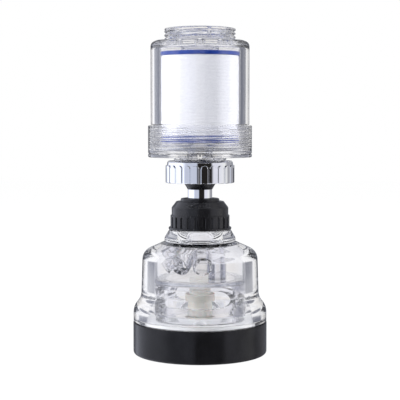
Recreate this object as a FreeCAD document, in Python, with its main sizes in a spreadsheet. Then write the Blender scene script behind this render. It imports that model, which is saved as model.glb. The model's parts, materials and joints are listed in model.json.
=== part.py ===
"""Faucet mount water filter: clear filter unit, double ball swivel and clear spray head.

The part stands on its base ring, with +Z up the axis and the front of the head towards -Y.
All sizes are in millimetres and degrees.
"""

import FreeCAD, Part
import math
import os
import re

import Sketcher

doc = FreeCAD.newDocument("faucet_filter")

SIZES = {
    # clearances
    "fit_gap": 0.05,             # pieces pressed or seated in each other
    "turn_gap": 0.1,             # pieces that turn in each other
    "run_gap": 0.3,              # pieces that pass each other
    # base ring
    "ring_radius": 26.8,
    "ring_height": 12.9,
    "ring_wall": 2.3,
    "ring_floor": 2.2,
    "ring_ledge": 3.0,
    "ring_foot_round": 1.2,
    "ring_lip_round": 0.4,
    # spray face
    "plate_recess": 0.6,
    "plate_flange": 2.0,
    "cup_depth": 3.7,
    "cup_wall": 1.6,
    "nozzle_radius": 0.7,
    "nozzle_tip": 0.3,
    "outer_nozzle_offset": 3.0,
    "outer_nozzles": 24,
    "inner_nozzle_offset": 1.4,
    "inner_nozzles": 16,
    "pad_thick": 1.2,
    "aerator_radius": 8.5,
    "aerator_wall": 1.0,
    "aerator_height": 3.4,
    "aerator_inlets": 6,
    "mesh_thick": 0.5,
    "mesh_pitch": 2.2,
    "mesh_hole": 1.5,
    # mode selector
    "selector_thick": 2.0,
    "mode_travel": 120,
    "port_shift": 1.25,
    "port_radius": 2.4,
    "port_step": 60,
    "port_first": -150,
    "port_seal_thick": 0.8,
    "port_seal_inset": 1.3,
    "port_disc_thick": 3.0,
    "port_disc_lap": 0.6,
    "detent_inset": 5.7,
    "detent_ball_radius": 1.25,
    "detent_sink": 0.4,
    "detent_dimple": 0.25,
    "spring_wire": 0.36,
    "spring_turns": 3,
    "spring_room": 1.5,
    # shoulder screw and centre post
    "screw_head": 3.3,
    "screw_head_height": 1.6,
    "screw_socket": 1.4,
    "screw_shoulder": 2.2,
    "screw_thread": 1.45,
    "screw_grip": 8.0,
    "post_foot": 4.6,
    "post_base": 5.0,
    "post_base_height": 5.8,
    "post_collar": 6.0,
    "post_collar_height": 4.0,
    "post_top": 4.3,
    "post_top_height": 4.8,
    # head body, outside
    "seal_groove_rise": 0.8,
    "seal_groove_depth": 1.05,
    "ring_seal_wire": 0.7,
    "skirt_inset": 0.1,
    "skirt_height": 5.9,
    "skirt_round": 6.0,
    "flare_height": 3.5,
    "flare_round": 6.2,
    "flare_width": 3.1,
    "bell_taper": 0.6,
    "bell_height": 18.5,
    "shoulder_rise": 4.0,
    "shoulder_round": 5.0,
    "flange_width": 1.64,
    "flange_step": 1.5,
    "flange_rise": 4.5,
    "flange_top_inset": 0.16,
    "neck_wall": 1.55,
    "neck_rise": 7.6,
    # head body, inside
    "bell_wall": 5.2,
    "ceiling_wall": 2.2,
    "cavity_bevel": 3.4,
    "cavity_round": 2.0,
    "cavity_flare_round": 10.0,
    "seat_ledge_width": 2.55,
    "seat_ledge_lift": 0.6,
    "seal_cup_wall": 1.5,
    # flow drum
    "drum_wall": 3.6,
    "drum_height": 16.5,
    "drum_roof": 1.8,
    "window_inset": 0.7,
    "window_margin": 1.7,
    "frame_depth": 1.6,
    "frame_inset": 0.1,
    "window_height": 11.6,
    "window_foot": 3.0,
    "window_turn": -15,
    "drum_seal_wire": 0.5,
    "drum_seal_drop": 0.4,
    # inlet distributor
    "distributor_inset": 2.1,
    "distributor_floor": 1.5,
    "plenum_height": 1.0,
    "plenum_wall": 1.4,
    "jet_radius": 3.6,
    "jet_bore": 2.7,
    "jet_inset": 4.3,
    "jet_reach": 7.4,
    "jet_back": 2.0,
    "jet_tilt": 60,
    "jet_step": 35,
    "jet_first": 4,
    "jets": 4,
    "riser_inset": 4.0,
    "riser_turn": 48,
    "riser_radius": 3.4,
    "riser_bore": 2.2,
    # double ball swivel
    "ball_radius": 7.0,
    "stem_show": 3.6,
    "ball_end_cut": 1.1,
    "ball_sink_stop": 1.9,
    "cone_start": 3.9,
    "cone_height": 2.3,
    "cone_flare": 0.1,
    "stem_radius": 4.86,
    "stem_spigot": 4.0,
    "stem_bore": 3.0,
    "stem_collar_inset": 2.2,
    "seat_ring_wall": 0.68,
    "seat_ring_flange": 1.07,
    "seat_ring_flange_height": 1.7,
    "seat_ring_mouth_inset": 0.45,
    "seat_ring_throat_inset": 0.65,
    "seat_ring_round": 0.5,
    "seat_ring_start": 0.4,
    # bell nut
    "bell_nut_lip_step": 0.74,
    "bell_nut_lip_height": 0.9,
    "bell_nut_rib_step": 0.47,
    "bell_nut_rib_height": 4.8,
    "bell_nut_wall": 1.05,
    "bell_nut_plain_height": 3.0,
    "bell_nut_chamfer": 1.88,
    "bell_nut_chamfer_height": 2.5,
    "bell_nut_ribs": 24,
    "rib_groove": 1.0,
    "rib_groove_depth": 0.5,
    # chrome swivel nut
    "nut_wall": 3.17,
    "nut_thread_length": 4.8,
    "nut_foot_bevel": 0.4,
    "nut_crown_inset": 0.67,
    "nut_crown_height": 1.7,
    "nut_step": 1.2,
    "nut_flutes": 24,
    "flute_width": 0.9,
    "flute_depth": 0.6,
    # filter base with spout
    "washer_thick": 1.1,
    "spout_show": 1.4,
    "spout_seal_wall": 1.35,
    "spout_seal_ledge": 2.2,
    "spout_wall": 2.1,
    "spout_throat_height": 1.8,
    "outlet_radius": 3.4,
    "base_step": 1.05,
    "base_wall": 1.8,
    "base_height": 12.6,
    "base_floor": 2.5,
    "base_bevel": 0.5,
    "base_line_rise": 1.5,
    "base_line_depth": 0.3,
    "base_notches": 5,
    "base_notch_width": 1.2,
    "base_notch_depth": 0.8,
    "cartridge_stand": 6.0,
    "cartridge_stand_height": 3.0,
    "nipple_radius": 4.6,
    "nipple_height": 2.8,
    # filter housing
    "housing_seal_wire": 0.5,
    "housing_radius": 19.65,
    "housing_wall": 3.45,
    "housing_height": 33.1,
    "housing_round": 2.2,
    "housing_roof": 2.4,
    "inlet_radius": 14.1,
    "inlet_height": 4.9,
    "inlet_bevel": 0.4,
    "inlet_bore": 10.6,
    "inlet_floor": 1.9,
    "inlet_holes": 8,
    "inlet_hole_radius": 1.1,
    "inlet_hole_ring": 8.75,
    "inlet_ledge_radius": 9.95,
    "inlet_ledge_height": 2.2,
    "boss_radius": 7.6,
    "boss_wall": 1.8,
    "inlet_washer_bore": 8.2,
    "inlet_washer_thick": 2.0,
    # cartridge
    "media_room": 0.8,
    "cap_room": 0.5,
    "bottom_cap_thick": 2.6,
    "top_cap_thick": 1.6,
    "core_radius": 6.6,
    "core_wall": 1.0,
    "core_slots": 6,
    "core_slot_width": 2.0,
    "core_slot_margin": 4.0,
    "cap_hub": 3.0,
}

MODES = 3

sheet = doc.addObject("Spreadsheet::Sheet", "Sizes")
for row, (alias, value) in enumerate(SIZES.items(), start=1):
    sheet.set(f"A{row}", alias)
    sheet.set(f"B{row}", str(value))
    sheet.setAlias(f"B{row}", alias)
doc.recompute()

# Radii that follow from another size and a wall, step or gap.
RING_BORE = "(ring_radius - ring_wall)"
RING_MOUTH = f"({RING_BORE} - ring_ledge)"
CUP_RADIUS = f"({RING_BORE} - fit_gap)"
SPIGOT_RADIUS = f"({RING_BORE} - run_gap - turn_gap)"
SKIRT_RADIUS = "(ring_radius - skirt_inset)"
BELL_RADIUS = f"({SKIRT_RADIUS} - flare_width)"
BELL_TOP_RADIUS = f"({BELL_RADIUS} - bell_taper)"
CAVITY_RADIUS = f"({BELL_RADIUS} - bell_wall)"
CAVITY_FOOT_RADIUS = f"({SKIRT_RADIUS} - bell_wall)"
PORT_DISC_RADIUS = f"({CAVITY_FOOT_RADIUS} + port_disc_lap)"
PORT_SEAL_RADIUS = f"({PORT_DISC_RADIUS} - port_seal_inset)"
DISC_BORE = f"({PORT_DISC_RADIUS} + turn_gap)"
DETENT_RING = f"({PORT_DISC_RADIUS} - detent_inset)"
NOZZLE_MIDDLE = f"((aerator_radius + {RING_MOUTH}) / 2)"
NOZZLE_RINGS = (("outer", f"({NOZZLE_MIDDLE} + outer_nozzle_offset)", "outer_nozzles"),
                ("inner", f"({NOZZLE_MIDDLE} - inner_nozzle_offset)", "inner_nozzles"))
DRUM_RADIUS = f"({CAVITY_RADIUS} - run_gap)"
DRUM_BORE = f"({DRUM_RADIUS} - drum_wall)"
PORT_RING = f"(({DRUM_BORE} + post_base) / 2 + port_shift)"
DISTRIBUTOR_RADIUS = f"({CAVITY_RADIUS} - cavity_bevel - distributor_inset)"
DRUM_STEP = f"({DRUM_RADIUS} - frame_depth)"
JET_START = f"({DISTRIBUTOR_RADIUS} - jet_inset)"
RISER_RING = f"({DISTRIBUTOR_RADIUS} - riser_inset)"
BALL_SEAT = "(ball_radius + fit_gap)"
BALL_END = "(ball_radius - ball_end_cut)"
BALL_SINK = f"({BALL_END} - ball_sink_stop)"
COLLAR_RISE = "(ball_radius - stem_collar_inset)"
CONE_DROP = "(ball_radius - cone_start)"
SEAL_CUP = f"({BALL_SEAT} + seal_cup_wall)"
CHAMBER_RADIUS = f"({SEAL_CUP} - seat_ledge_width)"
NECK_RADIUS = f"({SEAL_CUP} + turn_gap + neck_wall)"
SEAT_RING_RADIUS = f"({BALL_SEAT} + seat_ring_wall)"
BELL_NUT_THREAD = f"({NECK_RADIUS} + turn_gap)"
BELL_NUT_BORE = f"({SEAT_RING_RADIUS} + seat_ring_flange + 2 * turn_gap)"
BELL_NUT_RADIUS = f"({BELL_NUT_THREAD} + bell_nut_wall)"
BELL_NUT_RIB = f"({BELL_NUT_RADIUS} + bell_nut_rib_step)"
BELL_NUT_LIP = f"({BELL_NUT_RIB} + bell_nut_lip_step)"
FLANGE_RADIUS = f"({BELL_NUT_LIP} + flange_width)"
SPOUT_BORE = f"({BALL_SEAT} + spout_seal_wall)"
SPOUT_RADIUS = f"({SPOUT_BORE} + spout_wall)"
NUT_THREAD = f"({SPOUT_RADIUS} + turn_gap)"
NUT_RADIUS = f"({NUT_THREAD} + nut_wall)"
BASE_RADIUS = "(housing_radius + base_step)"
BASE_BORE = f"({BASE_RADIUS} - base_wall)"
HOUSING_SKIRT = f"({BASE_BORE} - run_gap)"
HOUSING_BORE = "(housing_radius - housing_wall)"
MEDIA_RADIUS = f"({HOUSING_BORE} - media_room)"
CAP_RADIUS = f"({HOUSING_BORE} - cap_room)"
CORE_BORE = "(core_radius - core_wall)"

# Levels up the axis, from the foot of the base ring.
PLATE_TOP = "(ring_floor + plate_flange)"
CUP_TOP = f"({PLATE_TOP} + cup_depth)"
SELECTOR_TOP = f"({CUP_TOP} + selector_thick)"
HEAD_FOOT = f"({SELECTOR_TOP} + run_gap)"
PORT_DISC_FOOT = f"({HEAD_FOOT} + port_seal_thick)"
CORE_FLOOR = f"({PORT_DISC_FOOT} + port_disc_thick)"
DRUM_TOP = f"({CORE_FLOOR} + drum_height)"
SKIRT_FOOT = "(ring_height + run_gap)"
SKIRT_TOP = f"({SKIRT_FOOT} + skirt_height)"
BELL_FOOT = f"({SKIRT_TOP} + flare_height)"
BELL_TOP = f"({BELL_FOOT} + bell_height)"
SHOULDER_TOP = f"({BELL_TOP} + shoulder_rise)"
CEILING = f"({SHOULDER_TOP} - ceiling_wall)"
PLENUM_FLOOR = f"({CEILING} - plenum_height)"
DISTRIBUTOR_FOOT = f"({PLENUM_FLOOR} - distributor_floor)"
JET_LEVEL = f"({CEILING} - jet_radius * sin(jet_tilt) - run_gap)"
FLANGE_TOP = f"({SHOULDER_TOP} + flange_rise)"
NECK_TOP = f"({FLANGE_TOP} + neck_rise)"
SEAT_LEDGE = f"({NECK_TOP} - ball_radius + seat_ledge_lift)"
LOWER_BALL = f"({NECK_TOP} + run_gap)"
STEM_COLLAR = f"({LOWER_BALL} + {COLLAR_RISE})"
CONE_FOOT = f"({STEM_COLLAR} + stem_show)"
CONE_TOP = f"({CONE_FOOT} + cone_height)"
UPPER_BALL = f"({CONE_TOP} + {CONE_DROP})"
BELL_NUT_FOOT = f"({FLANGE_TOP} + run_gap)"
BELL_NUT_RIB_FOOT = f"({BELL_NUT_FOOT} + bell_nut_lip_height)"
BELL_NUT_RIB_TOP = f"({BELL_NUT_RIB_FOOT} + bell_nut_rib_height)"
BELL_NUT_EDGE = f"({BELL_NUT_RIB_TOP} + bell_nut_plain_height)"
BELL_NUT_CREST = f"({BELL_NUT_EDGE} + bell_nut_chamfer_height)"
NUT_FOOT = f"({CONE_TOP} + run_gap)"
NUT_STEP = f"({UPPER_BALL} + nut_step)"
NUT_TOP = f"({NUT_STEP} + nut_thread_length)"
SPOUT_FOOT = f"({NUT_STEP} + washer_thick)"
THROAT_FOOT = f"({UPPER_BALL} + {BALL_END} + run_gap + turn_gap)"
BASE_FOOT = f"({NUT_TOP} + spout_show)"
BASE_FLOOR = f"({BASE_FOOT} + base_floor)"
BASE_TOP = f"({BASE_FOOT} + base_height)"
STAND_TOP = f"({BASE_FLOOR} + cartridge_stand_height)"
NIPPLE_TOP = f"({STAND_TOP} + nipple_height)"
HOUSING_FOOT = f"({BASE_FLOOR} + 2 * housing_seal_wire + 2 * fit_gap)"
HOUSING_STEP = f"({BASE_TOP} + run_gap)"
HOUSING_TOP = f"({HOUSING_STEP} + housing_height)"
CAVITY_ROOF = f"({HOUSING_TOP} - housing_roof)"
INLET_FLOOR = f"({CAVITY_ROOF} + inlet_floor)"
INLET_LEDGE = f"({INLET_FLOOR} + inlet_ledge_height)"
INLET_TOP = f"({HOUSING_TOP} + inlet_height)"
CARTRIDGE_FOOT = f"({STAND_TOP} + turn_gap)"
MEDIA_FOOT = f"({CARTRIDGE_FOOT} + bottom_cap_thick)"
BOSS_FOOT = f"({CAVITY_ROOF} - boss_wall)"
CARTRIDGE_TOP = f"({BOSS_FOOT} - run_gap)"
MEDIA_TOP = f"({CARTRIDGE_TOP} - top_cap_thick)"


def bound(expression):
    """An expression on the sheet's names, as a property takes it."""
    return re.sub(r"[A-Za-z_]+", lambda word: f"Sizes.{word.group()}" if word.group() in SIZES
                  else word.group(), str(expression))


def number(expression):
    """The value of an expression on the sheet's names."""
    return float(sheet.evalExpression(bound(expression)))


def plane(body, role):
    """An origin plane or axis of a body."""
    return next(item for item in body.Origin.OriginFeatures if item.Role == role)


def new_body(label):
    """An empty body that a node's file is named after."""
    body = doc.addObject("PartDesign::Body", label)
    body.Label = label
    return body


def new_sketch(body, name, role, offset=None):
    """A sketch on an origin plane, moved out along the plane's normal by an expression."""
    sketch = body.newObject("Sketcher::SketchObject", f"{body.Label}_{name}")
    sketch.AttachmentSupport = (plane(body, role), [""])
    sketch.MapMode = "FlatFace"
    if offset is not None:
        sketch.setExpression("AttachmentOffset.Base.z", bound(offset))
    return sketch


def pin(sketch, kind, geometry, point, expression):
    """Place a point at a bound distance from an axis, or on the axis where it is zero."""
    value = number(expression)
    if abs(value) < 1e-9:
        axis = -2 if kind == "DistanceX" else -1
        sketch.addConstraint(Sketcher.Constraint("PointOnObject", geometry, point, axis))
        return
    index = sketch.addConstraint(Sketcher.Constraint(kind, -1, 1, geometry, point, value))
    sketch.setExpression(f"Constraints[{index}]", bound(expression))


def measure(sketch, kind, geometry, expression):
    """Bind a radius or diameter of one curve."""
    index = sketch.addConstraint(Sketcher.Constraint(kind, geometry, number(expression)))
    sketch.setExpression(f"Constraints[{index}]", bound(expression))


def corner_point(corner, ball):
    """Start values of a corner, worked out on its ball where one of the two is left open."""
    across, up = corner[:2]
    if across is None:
        return math.sqrt(number(ball[1]) ** 2 - number(f"{up} - {ball[0]}") ** 2), number(up)
    if up is None:
        rise = math.sqrt(number(ball[1]) ** 2 - number(across) ** 2)
        above = number(ball[0]) + rise
        below = number(ball[0]) - rise
        return number(across), above if corner[3] == "above" else below
    return number(across), number(up)


def outline(sketch, corners):
    """Closed outline from corners (radius, height, ball, side), in order.

    A ball is (centre height, radius): from its corner to the next one the outline follows a
    ball that is centred on the axis. A radius or height of None is left to that ball, and
    side says which half of the ball an open height is on.
    """
    corners = [corner + (None,) * (4 - len(corner)) for corner in corners]
    points = [corner_point(corner, corner[2] or corners[index - 1][2])
              for index, corner in enumerate(corners)]
    ends = []
    for index, corner in enumerate(corners):
        start = points[index]
        end = points[(index + 1) % len(points)]
        if corner[2] is None:
            line = Part.LineSegment(FreeCAD.Vector(*start, 0), FreeCAD.Vector(*end, 0))
            ends.append((sketch.addGeometry(line, False), 1, 2))
            continue
        centre = FreeCAD.Vector(0, number(corner[2][0]), 0)
        circle = Part.Circle(centre, FreeCAD.Vector(0, 0, 1), number(corner[2][1]))
        angles = [math.atan2(up - centre.y, across) for across, up in (start, end)]
        arc = sketch.addGeometry(Part.ArcOfCircle(circle, min(angles), max(angles)), False)
        sketch.addConstraint(Sketcher.Constraint("PointOnObject", arc, 3, -2))
        pin(sketch, "DistanceY", arc, 3, corner[2][0])
        measure(sketch, "Radius", arc, corner[2][1])
        ends.append((arc, 1, 2) if angles[0] < angles[1] else (arc, 2, 1))
    for index, corner in enumerate(corners):
        geometry, first, last = ends[index]
        following = ends[(index + 1) % len(ends)]
        sketch.addConstraint(Sketcher.Constraint("Coincident", geometry, last, following[0], following[1]))
        if corner[0] is not None:
            pin(sketch, "DistanceX", geometry, first, corner[0])
        if corner[1] is not None:
            pin(sketch, "DistanceY", geometry, first, corner[1])


def turned(label, corners):
    """A body turned about the Z axis from a closed half section."""
    body = new_body(label)
    sketch = new_sketch(body, "section", "XZ_Plane")
    outline(sketch, corners)
    feature = body.newObject("PartDesign::Revolution", f"{label}_turn")
    feature.Profile = sketch
    feature.ReferenceAxis = (sketch, ["V_Axis"])
    feature.Angle = 360
    sketch.Visibility = False
    doc.recompute()
    return body


def tube(label, outer, inner, foot, top):
    """A plain ring or tube."""
    return turned(label, [(inner, foot), (outer, foot), (outer, top), (inner, top)])


def rounded(body, name, radius, places):
    """Fillet the round edges that lie at the given (radius, height) places."""
    wanted = [(number(across), number(up)) for across, up in places]
    names = []
    for index, edge in enumerate(body.Tip.Shape.Edges, start=1):
        box = edge.BoundBox
        for across, up in wanted:
            flat = abs(box.ZMin - up) < 1e-3 and abs(box.ZMax - up) < 1e-3
            if flat and abs(box.XMax - across) < 1e-3:
                names.append(f"Edge{index}")
    feature = body.newObject("PartDesign::Fillet", f"{body.Label}_{name}")
    feature.Base = (feature.BaseFeature, names)
    feature.setExpression("Radius", bound(radius))
    doc.recompute()


def repeated(body, feature, count, angle=360):
    """Repeat a feature round the Z axis."""
    pattern = body.newObject("PartDesign::PolarPattern", f"{feature.Name}_round")
    pattern.Originals = [feature]
    pattern.Axis = (plane(body, "Z_Axis"), [""])
    body.Tip = pattern
    pattern.setExpression("Angle", bound(angle))
    pattern.setExpression("Occurrences", bound(count))
    doc.recompute()


def drilled(body, name, holes, foot, top, count=None, angle=360):
    """Round holes straight up the Z axis between two levels.

    holes lists (radius of the hole, radius of its ring, angle round the axis).
    """
    sketch = new_sketch(body, name, "XY_Plane", foot)
    for hole, ring, turn in holes:
        across = f"({ring}) * cos({turn})"
        along = f"({ring}) * sin({turn})"
        middle = FreeCAD.Vector(number(across), number(along), 0)
        circle = Part.Circle(middle, FreeCAD.Vector(0, 0, 1), number(hole))
        geometry = sketch.addGeometry(circle, False)
        pin(sketch, "DistanceX", geometry, 3, across)
        pin(sketch, "DistanceY", geometry, 3, along)
        measure(sketch, "Radius", geometry, hole)
    before = body.Tip.Shape.Volume
    feature = body.newObject("PartDesign::Pocket", f"{body.Label}_{name}_cut")
    feature.Profile = sketch
    feature.Reversed = True
    feature.setExpression("Length", bound(f"({top}) - ({foot})"))
    sketch.Visibility = False
    doc.recompute()
    if before - feature.Shape.Volume < 1e-6:
        raise RuntimeError(f"{feature.Name} cuts nothing")
    if count is not None:
        repeated(body, feature, count, angle)


def slotted(body, name, width, foot, top, floor, count, arched=True):
    """Upright grooves cut from outside, down to a floor radius, with arched tops."""
    sketch = new_sketch(body, name, "XZ_Plane", floor)
    half = f"({width} / 2)"
    spring = f"({top} - {half})" if arched else top
    left, right, low, high = number(f"-{half}"), number(half), number(foot), number(spring)
    path = [FreeCAD.Vector(left, high, 0), FreeCAD.Vector(left, low, 0),
            FreeCAD.Vector(right, low, 0), FreeCAD.Vector(right, high, 0)]
    sides = [sketch.addGeometry(Part.LineSegment(a, b), False) for a, b in zip(path, path[1:])]
    for first, second in zip(sides, sides[1:]):
        sketch.addConstraint(Sketcher.Constraint("Coincident", first, 2, second, 1))
    if arched:
        centre = FreeCAD.Vector(0, high, 0)
        circle = Part.Circle(centre, FreeCAD.Vector(0, 0, 1), right)
        crown = sketch.addGeometry(Part.ArcOfCircle(circle, 0, math.pi), False)
        sketch.addConstraint(Sketcher.Constraint("Coincident", sides[2], 2, crown, 1))
        sketch.addConstraint(Sketcher.Constraint("Coincident", crown, 2, sides[0], 1))
        sketch.addConstraint(Sketcher.Constraint("PointOnObject", crown, 3, -2))
        pin(sketch, "DistanceY", crown, 3, spring)
    else:
        crown = sketch.addGeometry(Part.LineSegment(path[3], path[0]), False)
        sketch.addConstraint(Sketcher.Constraint("Coincident", sides[2], 2, crown, 1))
        sketch.addConstraint(Sketcher.Constraint("Coincident", crown, 2, sides[0], 1))
        pin(sketch, "DistanceY", sides[0], 1, spring)
        pin(sketch, "DistanceX", sides[0], 1, f"-{half}")
    pin(sketch, "DistanceX", sides[1], 1, f"-{half}")
    pin(sketch, "DistanceY", sides[1], 1, foot)
    pin(sketch, "DistanceX", sides[2], 1, half)
    pin(sketch, "DistanceY", sides[2], 1, foot)
    pin(sketch, "DistanceY", sides[2], 2, spring)
    before = body.Tip.Shape.Volume
    feature = body.newObject("PartDesign::Pocket", f"{body.Label}_{name}_cut")
    feature.Profile = sketch
    feature.Reversed = True
    feature.Type = "ThroughAll"
    sketch.Visibility = False
    doc.recompute()
    if before - feature.Shape.Volume < 1e-6:
        raise RuntimeError(f"{feature.Name} cuts nothing")
    repeated(body, feature, count)


def o_ring(label, middle, wire, level):
    """A round-section ring."""
    ring = doc.addObject("Part::Torus", label)
    ring.Label = label
    ring.setExpression("Radius1", bound(middle))
    ring.setExpression("Radius2", bound(wire))
    ring.setExpression("Placement.Base.z", bound(level))
    return ring


def build_base_ring():
    """The turning base ring, a cup with an open floor."""
    body = turned("mode_ring", [
        (RING_MOUTH, "0"), ("ring_radius", "0"), ("ring_radius", "ring_height"),
        (RING_BORE, "ring_height"), (RING_BORE, "ring_floor"), (RING_MOUTH, "ring_floor")])
    rounded(body, "foot", "ring_foot_round", [("ring_radius", "0")])
    rounded(body, "lip", "ring_lip_round", [("ring_radius", "ring_height")])
    return body


def build_spray_face():
    """Spray plate, nozzle pad and aerator."""
    face = f"({RING_MOUTH} - fit_gap)"
    plate = turned("spray_plate", [
        ("aerator_radius", "plate_recess"), (face, "plate_recess"), (face, "ring_floor"),
        (CUP_RADIUS, "ring_floor"), (CUP_RADIUS, CUP_TOP), (f"{CUP_RADIUS} - cup_wall", CUP_TOP),
        (f"{CUP_RADIUS} - cup_wall", PLATE_TOP), ("aerator_radius", PLATE_TOP)])
    hole = "nozzle_radius + fit_gap"
    for name, ring, count in NOZZLE_RINGS:
        drilled(plate, name, [(hole, ring, "0")], "plate_recess", PLATE_TOP, count)
    pad = tube("nozzle_pad", f"{CUP_RADIUS} - cup_wall - fit_gap", "aerator_radius + aerator_wall",
               PLATE_TOP, f"{PLATE_TOP} + pad_thick")
    for name, ring, count in NOZZLE_RINGS:
        sketch = new_sketch(pad, name, "XY_Plane", PLATE_TOP)
        middle = FreeCAD.Vector(number(ring), 0, 0)
        circle = Part.Circle(middle, FreeCAD.Vector(0, 0, 1), number("nozzle_radius"))
        nub = sketch.addGeometry(circle, False)
        pin(sketch, "DistanceX", nub, 3, ring)
        pin(sketch, "DistanceY", nub, 3, "0")
        measure(sketch, "Radius", nub, "nozzle_radius")
        feature = pad.newObject("PartDesign::Pad", f"nozzle_pad_{name}_nub")
        feature.Profile = sketch
        feature.Reversed = True
        feature.setExpression("Length", bound(f"{PLATE_TOP} - nozzle_tip"))
        sketch.Visibility = False
        doc.recompute()
        repeated(pad, feature, count)
    cup_outer = "(aerator_radius - fit_gap)"
    cup_inner = f"({cup_outer} - aerator_wall)"
    cup_top = "(plate_recess + aerator_height)"
    mesh_seat = "(plate_recess + 2 * mesh_thick)"
    cup = turned("aerator_cup", [
        (cup_inner, "plate_recess"), (cup_outer, "plate_recess"), (cup_outer, cup_top),
        ("0", cup_top), ("0", f"{cup_top} - aerator_wall"), (cup_inner, f"{cup_top} - aerator_wall")])
    drilled(cup, "inlets", [("aerator_wall", "aerator_radius / 2", "0")],
            f"{cup_top} - aerator_wall", cup_top, "aerator_inlets")
    mesh = turned("aerator_mesh", [
        ("0", mesh_seat), (f"{cup_inner} - fit_gap", mesh_seat),
        (f"{cup_inner} - fit_gap", f"{mesh_seat} + mesh_thick"), ("0", f"{mesh_seat} + mesh_thick")])
    perforate(mesh, mesh_seat, f"{mesh_seat} + mesh_thick", f"({cup_inner} - 2 * mesh_thick)")
    return [plate, pad, cup, mesh]


def perforate(mesh, foot, top, reach):
    """Square holes on a square grid, as far as the rim allows."""
    pitch = number("mesh_pitch")
    half = number("mesh_hole") / 2
    limit = number(reach)
    steps = int(limit // pitch)
    sketch = new_sketch(mesh, "weave", "XY_Plane", foot)
    for column in range(-steps, steps + 1):
        for line in range(-steps, steps + 1):
            x = column * pitch
            y = line * pitch
            if math.hypot(abs(x) + half, abs(y) + half) > limit:
                continue
            square = [FreeCAD.Vector(x - half, y - half, 0), FreeCAD.Vector(x + half, y - half, 0),
                      FreeCAD.Vector(x + half, y + half, 0), FreeCAD.Vector(x - half, y + half, 0)]
            for start, end in zip(square, square[1:] + square[:1]):
                sketch.addGeometry(Part.LineSegment(start, end), False)
    feature = mesh.newObject("PartDesign::Pocket", "aerator_mesh_cut")
    feature.Profile = sketch
    feature.Reversed = True
    feature.setExpression("Length", bound(f"({top}) - ({foot})"))
    sketch.Visibility = False
    doc.recompute()


def build_selector():
    """Selector disc that turns with the ring, and the port disc and gasket above it."""
    ball_level = f"({SELECTOR_TOP} - detent_sink + detent_ball_radius)"
    turns = [f"port_first + {index} * port_step" for index in range(MODES)]
    selector = tube("selector_disc", CUP_RADIUS, "screw_shoulder + turn_gap", CUP_TOP, SELECTOR_TOP)
    drilled(selector, "port", [("port_radius", PORT_RING, turns[1])], CUP_TOP, SELECTOR_TOP)
    track = selector.newObject("PartDesign::SubtractiveTorus", "selector_disc_track")
    track.setExpression("Radius1", bound(DETENT_RING))
    track.setExpression("Radius2", bound("detent_ball_radius + fit_gap"))
    track.setExpression("Angle3", bound("mode_travel"))
    track.Placement.Rotation = FreeCAD.Rotation(FreeCAD.Vector(0, 0, 1), number("90 - mode_travel"))
    track.setExpression("Placement.Base.z", bound(ball_level))
    track.setExpression("Placement.Rotation.Angle", bound("90 - mode_travel"))
    doc.recompute()
    for index in range(MODES):
        dimple = selector.newObject("PartDesign::SubtractiveSphere", f"selector_disc_dimple_{index}")
        turn = f"(90 - mode_travel * {index} / {MODES - 1})"
        dimple.setExpression("Radius", bound("detent_ball_radius + detent_dimple"))
        dimple.setExpression("Placement.Base.x", bound(f"{DETENT_RING} * cos({turn})"))
        dimple.setExpression("Placement.Base.y", bound(f"{DETENT_RING} * sin({turn})"))
        dimple.setExpression("Placement.Base.z", bound(ball_level))
        doc.recompute()
    port_holes = [("port_radius", PORT_RING, turn) for turn in turns]
    gasket = tube("port_seal", PORT_SEAL_RADIUS, "post_foot + run_gap", HEAD_FOOT, PORT_DISC_FOOT)
    drilled(gasket, "ports", port_holes, HEAD_FOOT, PORT_DISC_FOOT)
    drilled(gasket, "detent", [("detent_ball_radius + run_gap", DETENT_RING, "90")],
            HEAD_FOOT, PORT_DISC_FOOT)
    disc = tube("port_disc", PORT_DISC_RADIUS, "post_foot + fit_gap", PORT_DISC_FOOT, CORE_FLOOR)
    drilled(disc, "ports", port_holes, PORT_DISC_FOOT, CORE_FLOOR)
    spring_foot = f"({ball_level} + detent_ball_radius)"
    drilled(disc, "detent", [("detent_ball_radius + turn_gap", DETENT_RING, "90")],
            PORT_DISC_FOOT, f"{spring_foot} + spring_room")
    ball = doc.addObject("Part::Sphere", "detent_ball")
    ball.Label = "detent_ball"
    ball.setExpression("Radius", bound("detent_ball_radius"))
    ball.setExpression("Placement.Base.y", bound(DETENT_RING))
    ball.setExpression("Placement.Base.z", bound(ball_level))
    spring = detent_spring(spring_foot)
    return [selector, gasket, disc, ball, spring]


def detent_spring(foot):
    """A short coil of round wire over the click ball."""
    wire = number("spring_wire") / 2
    coil = number("detent_ball_radius") - wire
    height = number("spring_room") - 2 * wire - number("fit_gap")
    middle = FreeCAD.Vector(0, number(DETENT_RING), number(foot) + wire)
    helix = Part.makeHelix(height / number("spring_turns"), height, coil)
    start = FreeCAD.Vector(coil, 0, 0)
    section = Part.Wire(Part.makeCircle(wire, start, FreeCAD.Vector(0, 1, 0)))
    coil_shape = Part.Wire(helix.Edges).makePipeShell([section], True, True)
    coil_shape.translate(middle)
    spring = doc.addObject("Part::Feature", "detent_spring")
    spring.Label = "detent_spring"
    spring.Shape = coil_shape
    return spring


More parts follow.
